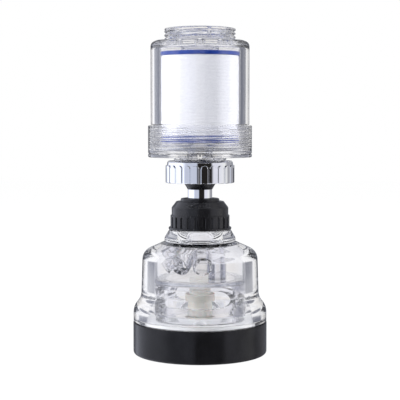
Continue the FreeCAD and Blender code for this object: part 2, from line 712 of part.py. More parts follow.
def build_post():
    """The stepped post in the middle of the drum and the shoulder screw under it."""
    base_top = f"({CORE_FLOOR} + post_base_height)"
    collar_top = f"({base_top} + post_collar_height)"
    top = f"({collar_top} + post_top_height)"
    pilot_top = f"({HEAD_FOOT} + screw_grip + run_gap)"
    pilot = "(screw_thread + fit_gap)"
    post = turned("centre_post", [
        (pilot, HEAD_FOOT), ("post_foot", HEAD_FOOT), ("post_foot", CORE_FLOOR),
        ("post_base", CORE_FLOOR), ("post_base", base_top), ("post_collar", base_top),
        ("post_collar", collar_top), ("post_top", collar_top), ("post_top", top),
        ("0", top), ("0", pilot_top), (pilot, pilot_top)])
    head_top = f"({CUP_TOP} - run_gap)"
    head_foot = f"({head_top} - screw_head_height)"
    socket_floor = f"({head_foot} + screw_head_height / 2)"
    screw = turned("centre_screw", [
        ("0", socket_floor), ("screw_socket", socket_floor), ("screw_socket", head_foot),
        ("screw_head", head_foot), ("screw_head", head_top),
        ("screw_shoulder", head_top), ("screw_shoulder", HEAD_FOOT), ("screw_thread", HEAD_FOOT),
        ("screw_thread", f"{HEAD_FOOT} + screw_grip"), ("0", f"{HEAD_FOOT} + screw_grip")])
    return [post, screw]


def build_head():
    """The clear bell, its seal ring, and the clear drum and distributor inside it."""
    groove_foot = f"({HEAD_FOOT} + seal_groove_rise)"
    groove_top = f"({groove_foot} + 2 * ring_seal_wire)"
    groove_floor = f"({SPIGOT_RADIUS} - seal_groove_depth)"
    bevel_foot = f"({CEILING} - cavity_bevel)"
    slope = "(flare_height / sqrt(flare_width ^ 2 + flare_height ^ 2))"
    drop = f"(bell_wall * (1 - {slope}) * flare_height / flare_width / {slope})"
    flare_foot = f"({SKIRT_TOP} - {drop})"
    flare_top = f"({BELL_FOOT} - {drop})"
    head = turned("head_body", [
        (DISC_BORE, HEAD_FOOT), (SPIGOT_RADIUS, HEAD_FOOT), (SPIGOT_RADIUS, groove_foot),
        (groove_floor, groove_foot), (groove_floor, groove_top), (SPIGOT_RADIUS, groove_top),
        (SPIGOT_RADIUS, SKIRT_FOOT), (SKIRT_RADIUS, SKIRT_FOOT), (SKIRT_RADIUS, SKIRT_TOP),
        (BELL_RADIUS, BELL_FOOT), (BELL_TOP_RADIUS, BELL_TOP),
        (FLANGE_RADIUS, SHOULDER_TOP), (FLANGE_RADIUS, f"{SHOULDER_TOP} + flange_step"),
        (f"{BELL_NUT_LIP} - flange_top_inset", FLANGE_TOP),
        (NECK_RADIUS, FLANGE_TOP), (NECK_RADIUS, NECK_TOP),
        (f"{SEAL_CUP} + turn_gap", NECK_TOP), (f"{SEAL_CUP} + turn_gap", SEAT_LEDGE),
        (CHAMBER_RADIUS, SEAT_LEDGE), (CHAMBER_RADIUS, CEILING),
        (f"{CAVITY_RADIUS} - cavity_bevel", CEILING), (CAVITY_RADIUS, bevel_foot),
        (CAVITY_RADIUS, flare_top), (CAVITY_FOOT_RADIUS, flare_foot),
        (CAVITY_FOOT_RADIUS, CORE_FLOOR), (DISC_BORE, CORE_FLOOR)])
    rounded(head, "skirt", "skirt_round", [(SKIRT_RADIUS, SKIRT_TOP)])
    rounded(head, "flare", "flare_round", [(BELL_RADIUS, BELL_FOOT)])
    rounded(head, "shoulder", "shoulder_round", [(BELL_TOP_RADIUS, BELL_TOP)])
    rounded(head, "cavity", "cavity_round", [(CAVITY_RADIUS, bevel_foot)])
    rounded(head, "cavity_flare", "cavity_flare_round", [(CAVITY_RADIUS, flare_top)])
    seal = o_ring("ring_seal", f"{groove_floor} + ring_seal_wire", "ring_seal_wire",
                  f"{groove_foot} + ring_seal_wire")
    return [head, seal, build_drum(), build_drum_seal(), build_distributor()]


def build_drum():
    """Clear drum over the ports, with a long framed window front and back."""
    groove_top = f"({DRUM_TOP} - drum_seal_drop)"
    groove_foot = f"({groove_top} - 2 * drum_seal_wire)"
    groove_floor = f"({DRUM_RADIUS} + run_gap - turn_gap - 2 * drum_seal_wire)"
    drum = turned("flow_drum", [
        (DRUM_STEP, CORE_FLOOR), (DRUM_RADIUS, CORE_FLOOR), (DRUM_RADIUS, groove_foot),
        (groove_floor, groove_foot), (groove_floor, groove_top), (DRUM_RADIUS, groove_top),
        (DRUM_RADIUS, DRUM_TOP), ("0", DRUM_TOP), ("0", f"{DRUM_TOP} - drum_roof"),
        (DRUM_STEP, f"{DRUM_TOP} - drum_roof")])
    windowed(drum, "frame", f"({DRUM_STEP} - frame_inset)", "window_height")
    sketch = new_sketch(drum, "lining", "XZ_Plane")
    roof_foot = f"({DRUM_TOP} - drum_roof)"
    outline(sketch, [(DRUM_BORE, CORE_FLOOR), (DRUM_STEP, CORE_FLOOR),
                     (DRUM_STEP, roof_foot), (DRUM_BORE, roof_foot)])
    lining = drum.newObject("PartDesign::Revolution", "flow_drum_lining_turn")
    lining.Profile = sketch
    lining.ReferenceAxis = (sketch, ["V_Axis"])
    lining.Angle = 360
    sketch.Visibility = False
    doc.recompute()
    windowed(drum, "window", f"({DRUM_BORE} - window_inset)", "(window_height - 2 * window_margin)")
    drilled(drum, "inlet", [("riser_bore", RISER_RING, "riser_turn - 90 - window_turn")],
            f"{DRUM_TOP} - drum_roof", DRUM_TOP)
    drum.setExpression("Placement.Rotation.Angle", bound("window_turn"))
    return drum


def windowed(drum, name, half_width, height):
    """Cut a long window with round ends through the drum, front to back."""
    sketch = new_sketch(drum, name, "XZ_Plane")
    end_radius = f"({height} / 2)"
    reach = f"({half_width} - {end_radius})"
    middle = f"({CORE_FLOOR} + window_foot + window_height / 2)"
    foot = f"({middle} - {end_radius})"
    top = f"({middle} + {end_radius})"
    across = number(reach)
    low = sketch.addGeometry(Part.LineSegment(FreeCAD.Vector(-across, number(foot), 0),
                                              FreeCAD.Vector(across, number(foot), 0)), False)
    high = sketch.addGeometry(Part.LineSegment(FreeCAD.Vector(across, number(top), 0),
                                               FreeCAD.Vector(-across, number(top), 0)), False)
    ends = []
    for side, start in ((across, -math.pi / 2), (-across, math.pi / 2)):
        circle = Part.Circle(FreeCAD.Vector(side, number(middle), 0), FreeCAD.Vector(0, 0, 1),
                             number(end_radius))
        ends.append(sketch.addGeometry(Part.ArcOfCircle(circle, start, start + math.pi), False))
    for first, second in ((low, ends[0]), (ends[0], high), (high, ends[1]), (ends[1], low)):
        sketch.addConstraint(Sketcher.Constraint("Tangent", first, 2, second, 1))
    for end, side in ((ends[0], reach), (ends[1], f"-{reach}")):
        pin(sketch, "DistanceX", end, 3, side)
        pin(sketch, "DistanceY", end, 3, middle)
        measure(sketch, "Radius", end, end_radius)
    window = drum.newObject("PartDesign::Pocket", f"flow_drum_{name}_cut")
    window.Profile = sketch
    window.SideType = "Symmetric"
    window.setExpression("Length", bound(f"2 * {DRUM_RADIUS} + 2 * drum_wall"))
    sketch.Visibility = False
    doc.recompute()


def build_drum_seal():
    """The ring round the drum's roof."""
    middle = f"({DRUM_RADIUS} + run_gap - turn_gap - drum_seal_wire)"
    return o_ring("drum_seal", middle, "drum_seal_wire", f"{DRUM_TOP} - drum_seal_drop - drum_seal_wire")


def slanted(name, radius, turn, start, length, lift):
    """A cylinder that leaves the axis line outwards and down, by the jets' tilt."""
    item = doc.addObject("Part::Cylinder", name)
    heading = math.radians(turn - 90)
    outwards = FreeCAD.Vector(math.cos(heading), math.sin(heading), 0)
    tilt = math.radians(number("jet_tilt"))
    along = outwards * math.sin(tilt) - FreeCAD.Vector(0, 0, math.cos(tilt))
    item.setExpression("Radius", bound(radius))
    item.setExpression("Height", bound(length))
    foot = outwards * number(start) + FreeCAD.Vector(0, 0, number(lift))
    item.Placement = FreeCAD.Placement(foot, FreeCAD.Rotation(FreeCAD.Vector(0, 0, 1), along))
    return item


def build_distributor():
    """Clear insert under the neck: a shallow plenum with slanting jets and one riser."""
    blank = doc.addObject("Part::Cylinder", "distributor_blank")
    blank.setExpression("Radius", bound(DISTRIBUTOR_RADIUS))
    blank.setExpression("Height", bound(f"{CEILING} - {DISTRIBUTOR_FOOT}"))
    blank.setExpression("Placement.Base.z", bound(DISTRIBUTOR_FOOT))
    plenum = doc.addObject("Part::Cylinder", "distributor_plenum")
    plenum.setExpression("Radius", bound(f"{DISTRIBUTOR_RADIUS} - plenum_wall"))
    plenum.setExpression("Height", bound("plenum_height + jet_radius"))
    plenum.setExpression("Placement.Base.z", bound(PLENUM_FLOOR))
    heading = "(riser_turn - 90)"
    riser = doc.addObject("Part::Cylinder", "riser_tube")
    riser.setExpression("Radius", bound("riser_radius"))
    riser.setExpression("Height", bound(f"{PLENUM_FLOOR} - {DRUM_TOP}"))
    riser_bore = doc.addObject("Part::Cylinder", "riser_hole")
    riser_bore.setExpression("Radius", bound("riser_bore"))
    riser_bore.setExpression("Height", bound(f"{PLENUM_FLOOR} - {DRUM_TOP} + 2 * run_gap"))
    for item, level in ((riser, DRUM_TOP), (riser_bore, f"{DRUM_TOP} - run_gap")):
        item.setExpression("Placement.Base.x", bound(f"{RISER_RING} * cos({heading})"))
        item.setExpression("Placement.Base.y", bound(f"{RISER_RING} * sin({heading})"))
        item.setExpression("Placement.Base.z", bound(level))
    solids = [blank, riser]
    holes = [plenum, riser_bore]
    start = f"({JET_START} - jet_back * sin(jet_tilt))"
    lift = f"({JET_LEVEL} + jet_back * cos(jet_tilt))"
    for index in range(int(number("jets"))):
        turn = number("jet_first") - index * number("jet_step")
        solids.append(slanted(f"jet_{index}", "jet_radius", turn, start, "jet_reach + jet_back", lift))
        holes.append(slanted(f"jet_hole_{index}", "jet_bore", turn, start,
                             "jet_reach + 2 * jet_back", lift))
    whole = doc.addObject("Part::MultiFuse", "distributor_whole")
    whole.Shapes = solids
    bores = doc.addObject("Part::MultiFuse", "distributor_bores")
    bores.Shapes = holes
    cut = doc.addObject("Part::Cut", "inlet_distributor")
    cut.Base = whole
    cut.Tool = bores
    cut.Label = "inlet_distributor"
    doc.recompute()
    return cut


def build_swivel():
    """The chrome stem, its two black balls and the rings that they turn in."""
    lower_end = f"({LOWER_BALL} - {BALL_END})"
    upper_end = f"({UPPER_BALL} + {BALL_END})"
    spigot_low = f"({LOWER_BALL} - {BALL_SINK})"
    spigot_high = f"({UPPER_BALL} + {BALL_SINK})"
    hole = "(stem_spigot + fit_gap)"
    stem = turned("swivel_stem", [
        ("stem_bore", spigot_low), ("stem_spigot", spigot_low), ("stem_spigot", STEM_COLLAR),
        ("stem_radius", STEM_COLLAR), ("stem_radius", CONE_FOOT), ("stem_spigot", CONE_FOOT),
        ("stem_spigot", spigot_high), ("stem_bore", spigot_high)])
    lower_ball = (LOWER_BALL, "ball_radius")
    lower = turned("lower_ball", [
        ("stem_bore", lower_end), (None, lower_end, lower_ball), (None, STEM_COLLAR),
        (hole, STEM_COLLAR), (hole, f"{spigot_low} - fit_gap"), ("stem_bore", f"{spigot_low} - fit_gap")])
    upper_ball = (UPPER_BALL, "ball_radius")
    upper = turned("upper_ball", [
        (hole, CONE_FOOT), ("stem_radius + cone_flare", CONE_FOOT), (None, CONE_TOP, upper_ball),
        (None, upper_end), ("stem_bore", upper_end), ("stem_bore", f"{spigot_high} + fit_gap"),
        (hole, f"{spigot_high} + fit_gap")])
    seat = (UPPER_BALL, BALL_SEAT)
    seal_foot = f"({SPOUT_FOOT} + turn_gap)"
    seal_top = f"({THROAT_FOOT} - 2 * run_gap)"
    upper_seal = turned("upper_ball_seal", [
        (None, seal_top, seat), (None, seal_foot), (f"{SPOUT_BORE} - turn_gap", seal_foot),
        (f"{SPOUT_BORE} - turn_gap", seal_top)])
    lower_seat = (LOWER_BALL, BALL_SEAT)
    cup_top = f"({LOWER_BALL} - 2 * run_gap)"
    lower_seal = turned("lower_ball_seal", [
        ("stem_spigot", None, lower_seat, "below"), (None, cup_top), (SEAL_CUP, cup_top),
        (SEAL_CUP, SEAT_LEDGE), ("stem_spigot", SEAT_LEDGE)])
    return [stem, lower, upper, upper_seal, lower_seal, build_seat_ring(), build_bell_nut()]


def build_seat_ring():
    """Black ring over the lower ball, held under the bell nut's crown."""
    foot = f"({LOWER_BALL} + seat_ring_start)"
    flange_top = f"({foot} + seat_ring_flange_height)"
    flange = f"({SEAT_RING_RADIUS} + seat_ring_flange)"
    ring = turned("lower_seat_ring", [
        (None, foot, (LOWER_BALL, BALL_SEAT)),
        (f"{BALL_SEAT} - seat_ring_throat_inset", None, None, "above"),
        (f"{BALL_SEAT} - seat_ring_mouth_inset", STEM_COLLAR), (SEAT_RING_RADIUS, STEM_COLLAR),
        (SEAT_RING_RADIUS, flange_top), (flange, flange_top), (flange, foot)])
    rounded(ring, "crest", "seat_ring_round", [(SEAT_RING_RADIUS, STEM_COLLAR)])
    return ring


def build_bell_nut():
    """Black nut over the head's neck, with a chamfered crown and ribs above its lip."""
    crown_foot = f"({LOWER_BALL} + seat_ring_start + seat_ring_flange_height + run_gap)"
    thread_top = f"({NECK_TOP} + run_gap + turn_gap)"
    bore = f"({SEAT_RING_RADIUS} + turn_gap)"
    nut = turned("bell_nut", [
        (BELL_NUT_THREAD, BELL_NUT_FOOT), (BELL_NUT_LIP, BELL_NUT_FOOT),
        (BELL_NUT_LIP, BELL_NUT_RIB_FOOT), (BELL_NUT_RIB, BELL_NUT_RIB_FOOT),
        (BELL_NUT_RIB, BELL_NUT_RIB_TOP), (BELL_NUT_RADIUS, BELL_NUT_RIB_TOP),
        (BELL_NUT_RADIUS, BELL_NUT_EDGE), (f"{BELL_NUT_RADIUS} - bell_nut_chamfer", BELL_NUT_CREST),
        (bore, BELL_NUT_CREST), (bore, crown_foot), (BELL_NUT_BORE, crown_foot),
        (BELL_NUT_BORE, thread_top), (BELL_NUT_THREAD, thread_top)])
    slotted(nut, "ribs", "rib_groove", BELL_NUT_RIB_FOOT, f"{BELL_NUT_RIB_TOP} - rib_groove_depth",
            f"{BELL_NUT_RIB} - rib_groove_depth", "bell_nut_ribs")
    return nut


def build_nut():
    """Chrome nut that holds the upper ball to the spout, and the washer in it."""
    seat = (UPPER_BALL, BALL_SEAT)
    crown_foot = f"({NUT_TOP} - nut_crown_height)"
    nut = turned("swivel_nut", [
        (None, NUT_FOOT), (f"{NUT_RADIUS} - nut_foot_bevel", NUT_FOOT),
        (NUT_RADIUS, f"{NUT_FOOT} + nut_foot_bevel"), (NUT_RADIUS, crown_foot),
        (f"{NUT_RADIUS} - nut_crown_inset", NUT_TOP), (NUT_THREAD, NUT_TOP), (NUT_THREAD, NUT_STEP),
        (BALL_SEAT, NUT_STEP), (None, UPPER_BALL, seat)])
    slotted(nut, "flutes", "flute_width", f"{NUT_FOOT} - nut_foot_bevel", crown_foot,
            f"{NUT_RADIUS} - flute_depth", "nut_flutes")
    washer = tube("spout_washer", SPOUT_RADIUS, SPOUT_BORE, NUT_STEP, SPOUT_FOOT)
    return [nut, washer]


def build_filter_base():
    """Clear screw cap under the housing, with the cartridge stand and the spout."""
    throat = f"({SPOUT_BORE} - spout_seal_ledge)"
    throat_top = f"({THROAT_FOOT} + spout_throat_height)"
    line = f"({BASE_FOOT} + base_line_rise)"
    base = turned("filter_base", [
        (SPOUT_RADIUS, SPOUT_FOOT), (SPOUT_RADIUS, BASE_FOOT), (f"{BASE_RADIUS} - base_bevel", BASE_FOOT),
        (BASE_RADIUS, f"{BASE_FOOT} + base_bevel"), (BASE_RADIUS, f"{line} - base_line_depth"),
        (f"{BASE_RADIUS} - base_line_depth", line), (BASE_RADIUS, f"{line} + base_line_depth"),
        (BASE_RADIUS, BASE_TOP), (BASE_BORE, BASE_TOP), (BASE_BORE, BASE_FLOOR),
        ("cartridge_stand", BASE_FLOOR), ("cartridge_stand", STAND_TOP), ("nipple_radius", STAND_TOP),
        ("nipple_radius", NIPPLE_TOP), ("outlet_radius", NIPPLE_TOP),
        ("outlet_radius", throat_top), (throat, throat_top), (throat, THROAT_FOOT),
        (SPOUT_BORE, THROAT_FOOT), (SPOUT_BORE, SPOUT_FOOT)])
    slotted(base, "notches", "base_notch_width", f"{BASE_FOOT} - base_bevel",
            f"{line} - base_line_depth", f"{BASE_RADIUS} - base_notch_depth", "base_notches", False)
    return base


def build_housing():
    """Clear filter housing with the threaded inlet neck, its washer and its seal."""
    housing = turned("filter_housing", [
        (HOUSING_BORE, HOUSING_FOOT), (HOUSING_SKIRT, HOUSING_FOOT), (HOUSING_SKIRT, HOUSING_STEP),
        ("housing_radius", HOUSING_STEP), ("housing_radius", HOUSING_TOP), ("inlet_radius", HOUSING_TOP),
        ("inlet_radius", f"{INLET_TOP} - inlet_bevel"), ("inlet_radius - inlet_bevel", INLET_TOP),
        ("inlet_bore", INLET_TOP), ("inlet_bore", INLET_LEDGE), ("inlet_ledge_radius", INLET_LEDGE),
        ("inlet_ledge_radius", INLET_FLOOR), ("0", INLET_FLOOR),
        ("0", CAVITY_ROOF), ("boss_radius - boss_wall", CAVITY_ROOF),
        ("boss_radius - boss_wall", BOSS_FOOT), ("boss_radius", BOSS_FOOT),
        ("boss_radius", CAVITY_ROOF), (HOUSING_BORE, CAVITY_ROOF)])
    rounded(housing, "shoulder", "housing_round", [("housing_radius", HOUSING_TOP)])
    drilled(housing, "inlets", [("inlet_hole_radius", "inlet_hole_ring", "0")],
            CAVITY_ROOF, INLET_FLOOR, "inlet_holes")
    washer = tube("inlet_washer", "inlet_bore - turn_gap", "inlet_washer_bore",
                  INLET_LEDGE, f"{INLET_LEDGE} + inlet_washer_thick")
    seal = o_ring("housing_seal", f"{HOUSING_SKIRT} - 2 * housing_seal_wire", "housing_seal_wire",
                  f"{BASE_FLOOR} + fit_gap + housing_seal_wire")
    return [housing, washer, seal]


def build_cartridge():
    """Fibre tube on a slotted core, between two end caps."""
    hub = f"({CORE_BORE} - fit_gap)"
    media = tube("cartridge_media", MEDIA_RADIUS, "core_radius + fit_gap", MEDIA_FOOT, MEDIA_TOP)
    core = tube("cartridge_core", "core_radius", CORE_BORE, MEDIA_FOOT, MEDIA_TOP)
    slotted(core, "slots", "core_slot_width", f"{MEDIA_FOOT} + core_slot_margin",
            f"{MEDIA_TOP} - core_slot_margin", "core_wall", "core_slots")
    bottom = turned("cartridge_bottom_cap", [
        ("nipple_radius + fit_gap", CARTRIDGE_FOOT), (CAP_RADIUS, CARTRIDGE_FOOT),
        (CAP_RADIUS, MEDIA_FOOT), (hub, MEDIA_FOOT), (hub, f"{MEDIA_FOOT} + cap_hub"),
        ("nipple_radius + fit_gap", f"{MEDIA_FOOT} + cap_hub")])
    top = turned("cartridge_top_cap", [
        ("0", f"{MEDIA_TOP} - cap_hub"), (hub, f"{MEDIA_TOP} - cap_hub"), (hub, MEDIA_TOP),
        (CAP_RADIUS, MEDIA_TOP), (CAP_RADIUS, CARTRIDGE_TOP), ("0", CARTRIDGE_TOP)])
    return [media, core, bottom, top]


def check(nodes):
    """Stop if any object failed, or any node has no valid solid."""
    for item in doc.Objects:
        if "Invalid" in item.State or "Error" in item.State:
            raise RuntimeError(f"{item.Name} failed: {item.State}")
    for node in nodes:
        if node.Shape.isNull() or not node.Shape.isValid() or not node.Shape.Solids:
            raise RuntimeError(f"{node.Label} has no valid solid")


nodes = [build_base_ring()]
nodes += build_spray_face()
nodes += build_selector()
nodes += build_post()
nodes += build_head()
nodes += build_swivel()
nodes += build_nut()
nodes += [build_filter_base()]
nodes += build_housing()
nodes += build_cartridge()
doc.recompute()
check(nodes)

os.makedirs("parts", exist_ok=True)
for node in nodes:
    node.Shape.exportStep(os.path.join("parts", f"{node.Label}.step"))
    print(f"{node.Label}: {len(node.Shape.Solids)} solid, {node.Shape.Volume:.1f} mm3")
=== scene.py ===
"""Looks of the clear tap filter: its turned mouldings, chrome, fibre, light and camera.

Sizes are in millimetres in this file's own values and in metres on every mesh. The part
stands on its base ring, +Z runs up its axis and -Y is its front.
"""

import json
import logging
import math
from dataclasses import dataclass
from enum import Enum
from typing import Callable, Iterable, Optional, Union

import bmesh
import bpy
import numpy as np
from mathutils import Matrix, Vector


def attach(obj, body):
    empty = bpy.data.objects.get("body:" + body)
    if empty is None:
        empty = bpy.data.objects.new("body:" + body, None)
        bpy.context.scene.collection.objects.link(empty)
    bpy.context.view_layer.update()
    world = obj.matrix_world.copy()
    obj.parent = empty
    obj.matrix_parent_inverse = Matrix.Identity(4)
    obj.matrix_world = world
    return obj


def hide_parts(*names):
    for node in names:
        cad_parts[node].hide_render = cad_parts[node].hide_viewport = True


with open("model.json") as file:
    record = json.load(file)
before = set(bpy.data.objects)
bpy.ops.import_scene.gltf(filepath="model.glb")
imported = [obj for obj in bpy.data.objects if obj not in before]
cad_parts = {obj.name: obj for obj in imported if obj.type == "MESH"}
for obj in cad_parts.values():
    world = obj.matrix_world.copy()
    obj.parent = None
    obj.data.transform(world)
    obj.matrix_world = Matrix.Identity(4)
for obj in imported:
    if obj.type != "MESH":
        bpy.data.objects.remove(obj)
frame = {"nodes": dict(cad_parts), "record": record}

LOG = logging.getLogger("clear_filter")
MM = 0.001
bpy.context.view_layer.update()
FULL_TURN = 2 * math.pi
SHARP = 38.0  # edges that turn by more than this many degrees stay sharp
NEAR = 1e-6  # lengths under this count as nothing
WELD = 1e-7  # points closer than this, in metres, are joined
HAIR, TIGHT, CRISP, LIGHT = 0.1, 0.15, 0.2, 0.25  # fillets that many edges share
SOFT, BOLD, FULL, WIDE = 0.3, 0.35, 0.4, 0.5
SEAT_PARTS = 10  # pieces of the arc in a ball's seat
FINE = 0.12  # longest step up a threaded wall
SLACK = 0.01  # how far off a wall a point still counts as on it
OVERRUN = 1.0  # how far a cutter runs past the solid that it cuts
NOISE_SPAN = (0.3, 0.7)  # where most noise values lie
Colour = tuple[float, float, float]
WHITE: Colour = (1.0, 1.0, 1.0)
Relief = Callable[[np.ndarray, np.ndarray, np.ndarray], np.ndarray]
Socket = bpy.types.NodeSocket
Value = Union[bpy.types.NodeSocket, float, tuple[float, ...]]


class Slot(Enum):
    """Material slots of the record."""

    CLEAR = "clear_plastic"
    BLACK_GLOSS = "black_gloss"
    BLACK_SATIN = "black_satin"
    CHROME = "chrome"
    FIBRE = "filter_fibre"
    BLUE = "blue_plastic"
    WHITE = "white_plastic"
    PALE = "pale_plastic"
    SILICONE = "silicone"
    GREY_SILICONE = "grey_silicone"
    STEEL = "steel"


class NodeTree:
    """Short way to add and join shader nodes."""

    def __init__(self, holder: bpy.types.ID) -> None:
        """Turn on the nodes of a material or world and empty its tree.

        Args:
            holder: the material or world.
        """
        holder.use_nodes = True
        self.tree = holder.node_tree
        self.tree.nodes.clear()

    def add(self, kind: str, settings: Optional[dict] = None,
            **inputs: Value) -> bpy.types.Node:
        """Add a node.

        Args:
            kind: the node's type name.
            settings: values of the node's own properties.
            inputs: values or output sockets for its inputs, by name with _ for a space.

        Returns:
            The new node.
        """
        node = self.tree.nodes.new(kind)
        for name, value in (settings or {}).items():
            setattr(node, name, value)
        for name, value in inputs.items():
            self.join(value, node.inputs[name.replace("_", " ")])
        return node

    def join(self, value: Value, socket: Socket) -> None:
        """Link an output to a socket, or set the socket's plain value.

        Args:
            value: an output socket, or a plain value.
            socket: the input socket.
        """
        if isinstance(value, Socket):
            self.tree.links.new(value, socket)
        else:
            socket.default_value = value

    def maths(self, operation: str, *values: Value) -> Socket:
        """The result of one Math node on sockets or numbers.

        Args:
            operation: the node's operation.
            values: sockets or numbers, in order.

        Returns:
            The node's result.
        """
        node = self.add("ShaderNodeMath", {"operation": operation})
        for value, socket in zip(values, node.inputs):
            self.join(value, socket)
        return node.outputs[0]

    def mapped(self, value: Socket, source: tuple[float, float],
               target: tuple[float, float]) -> Socket:
        """A value carried from one range to another and held inside it.

        Args:
            value: output socket that is mapped.
            source: the range that it comes from.
            target: the range that it goes to.

        Returns:
            The mapped value.
        """
        node = self.add("ShaderNodeMapRange", Value=value, From_Min=source[0],
                        From_Max=source[1], To_Min=target[0], To_Max=target[1])
        return node.outputs["Result"]

    def mixed(self, factor: Socket, first: Socket, second: Socket) -> Socket:
        """One shader or the other, by a factor.

        Args:
            factor: 0 gives the first shader and 1 the second.
            first: one shader output.
            second: the other shader output.

        Returns:
            The mixed shader's output.
        """
        mix = self.add("ShaderNodeMixShader")
        for value, socket in zip((factor, first, second), mix.inputs):
            self.join(value, socket)
        return mix.outputs["Shader"]

    def blended(self, factor: Socket, first: Value, second: Value) -> Socket:
        """One colour or the other, by a factor.

        Args:
            factor: 0 gives the first colour and 1 the second.
            first: one colour or colour output.
            second: the other colour or colour output.

        Returns:
            The blended colour's output.
        """
        mix = self.add("ShaderNodeMix", {"data_type": "RGBA"})
        colours = [socket for socket in mix.inputs if socket.type == "RGBA"]
        for value, socket in zip((factor, first, second), (mix.inputs[0], *colours)):
            self.join(value, socket)
        return next(socket for socket in mix.outputs if socket.type == "RGBA")

    def bump(self, height: Socket, strength: float, distance: float) -> Socket:
        """Normals that tilt as a height of so many metres would tilt them."""
        node = self.add("ShaderNodeBump", Height=height, Strength=strength, Distance=distance)
        return node.outputs["Normal"]

    def ramp(self, factor: Socket, stops: Iterable[tuple[float, Colour]]) -> Socket:
        """Colours blended along a factor.

        Args:
            factor: output socket that drives the ramp.
            stops: (position, colour) pairs in order.

        Returns:
            The ramp's colour output.
        """
        node = self.add("ShaderNodeValToRGB", Fac=factor)
        points = node.color_ramp.elements
        for index, (position, colour) in enumerate(stops):
            point = points[index] if index < 2 else points.new(position)
            point.position = position
            point.color = opaque(colour)
        return node.outputs["Color"]

    def noise(self, scale: float, detail: float = 3.0,
              stretch: tuple[float, float, float] = (1.0, 1.0, 1.0)) -> Socket:
        """Noise over the piece's own coordinates.

        Args:
            scale: cells per metre.
            detail: octaves.
            stretch: how much finer the noise is along each axis.

        Returns:
            The noise value, 0 to 1.
        """
        place = self.add("ShaderNodeTexCoord").outputs["Object"]
        spread = self.add("ShaderNodeMapping", Vector=place, Scale=stretch).outputs["Vector"]
        node = self.add("ShaderNodeTexNoise", Vector=spread, Scale=scale, Detail=detail)
        return node.outputs["Fac"]


def opaque(colour: Colour) -> tuple[float, float, float, float]:
    """The colour with full cover."""
    return (*colour, 1.0)


class Finish:
    """A finish that builds its own material."""

    def material(self, name: str) -> bpy.types.Material:
        """Build the material.

        Args:
            name: the material's name.

        Returns:
            The material, with this finish on its surface.
        """
        made = bpy.data.materials.new(name)
        nodes = NodeTree(made)
        nodes.add("ShaderNodeOutputMaterial", Surface=self.surface(nodes))
        return made

    def surface(self, nodes: NodeTree) -> Socket:
        """The shader output, which each kind of finish makes in its own way."""
        raise NotImplementedError


@dataclass(frozen=True)
class Moulding(Finish):
    """Opaque plastic, rubber or metal with slight mottle, uneven sheen and fine grain."""

    colour: Colour
    shade: Colour
    rough_low: float
    rough_high: float
    grain_depth: float = 0.02
    metallic: float = 0.0
    soft: float = 0.0
    gloss: float = 0.5
    mottle: float = 160.0
    grain: float = 2600.0
    grain_height: float = 0.0004
    soft_reach: float = 0.002

    def surface(self, nodes: NodeTree) -> Socket:
        """Mottled colour, patchy roughness and grain.

        Args:
            nodes: the tree that the shader goes into.

        Returns:
            The shader's output.
        """
        patches = nodes.noise(self.mottle, 4.0)
        marks = nodes.noise(self.mottle * 2.5, 5.0)
        shader = nodes.add(
            "ShaderNodeBsdfPrincipled",
            Base_Color=nodes.ramp(patches, [(0.35, self.colour), (0.68, self.shade)]),
            Roughness=nodes.mapped(marks, NOISE_SPAN, (self.rough_low, self.rough_high)),
            Normal=nodes.bump(nodes.noise(self.grain), self.grain_depth, self.grain_height),
            Metallic=self.metallic, Specular_IOR_Level=self.gloss,
            Subsurface_Weight=self.soft, Subsurface_Scale=self.soft_reach)
        return shader.outputs["BSDF"]


@dataclass(frozen=True)
class ClearPlastic(Finish):
    """Clear polished plastic that bends light and lets lamps through to what is inside."""

    tint: Colour = (0.955, 0.955, 0.975)
    passed: Colour = (0.93, 0.935, 0.95)
    ior: float = 1.57
    ripple: float = 70.0
    ripple_depth: float = 0.03
    haze: float = 0.012
    ripple_height: float = 0.002

    def surface(self, nodes: NodeTree) -> Socket:
        """Clear body with flow ripples, and a plain tint to the lamps' rays.

        Args:
            nodes: the tree that the shader goes into.

        Returns:
            The shader's output.
        """
        flow = nodes.noise(self.ripple, 2.0, (1.0, 1.0, 0.5))
        shader = nodes.add(
            "ShaderNodeBsdfPrincipled", Base_Color=opaque(self.tint), Transmission_Weight=1.0,
            IOR=self.ior, Normal=nodes.bump(flow, self.ripple_depth, self.ripple_height),
            Roughness=nodes.mapped(nodes.noise(self.ripple * 4), NOISE_SPAN, (0.0, self.haze)))
        through = nodes.add("ShaderNodeBsdfTransparent", Color=opaque(self.passed))
        to_lamp = nodes.add("ShaderNodeLightPath").outputs["Is Shadow Ray"]
        return nodes.mixed(to_lamp, shader.outputs["BSDF"], through.outputs["BSDF"])


@dataclass(frozen=True)
class SpunFibre(Finish):
    """White spun fibre: crossed strands wound round the tube."""

    colour: Colour
    shade: Colour
    strands: float = 900.0
    strand_depth: float = 0.15
    strand_height: float = 0.0005
    sheen: float = 0.15

    def surface(self, nodes: NodeTree) -> Socket:
        """Soft white with fine strands that run round the tube.

        Args:
            nodes: the tree that the shader goes into.

        Returns:
            The shader's output.
        """
        wound = nodes.noise(self.strands, 5.0, (1.0, 1.0, 3.0))
        shader = nodes.add(
            "ShaderNodeBsdfPrincipled",
            Base_Color=nodes.ramp(wound, [(0.3, self.shade), (0.6, self.colour)]),
            Roughness=nodes.mapped(wound, NOISE_SPAN, (0.8, 0.95)),
            Normal=nodes.bump(wound, self.strand_depth, self.strand_height),
            Sheen_Weight=self.sheen)
        return shader.outputs["BSDF"]


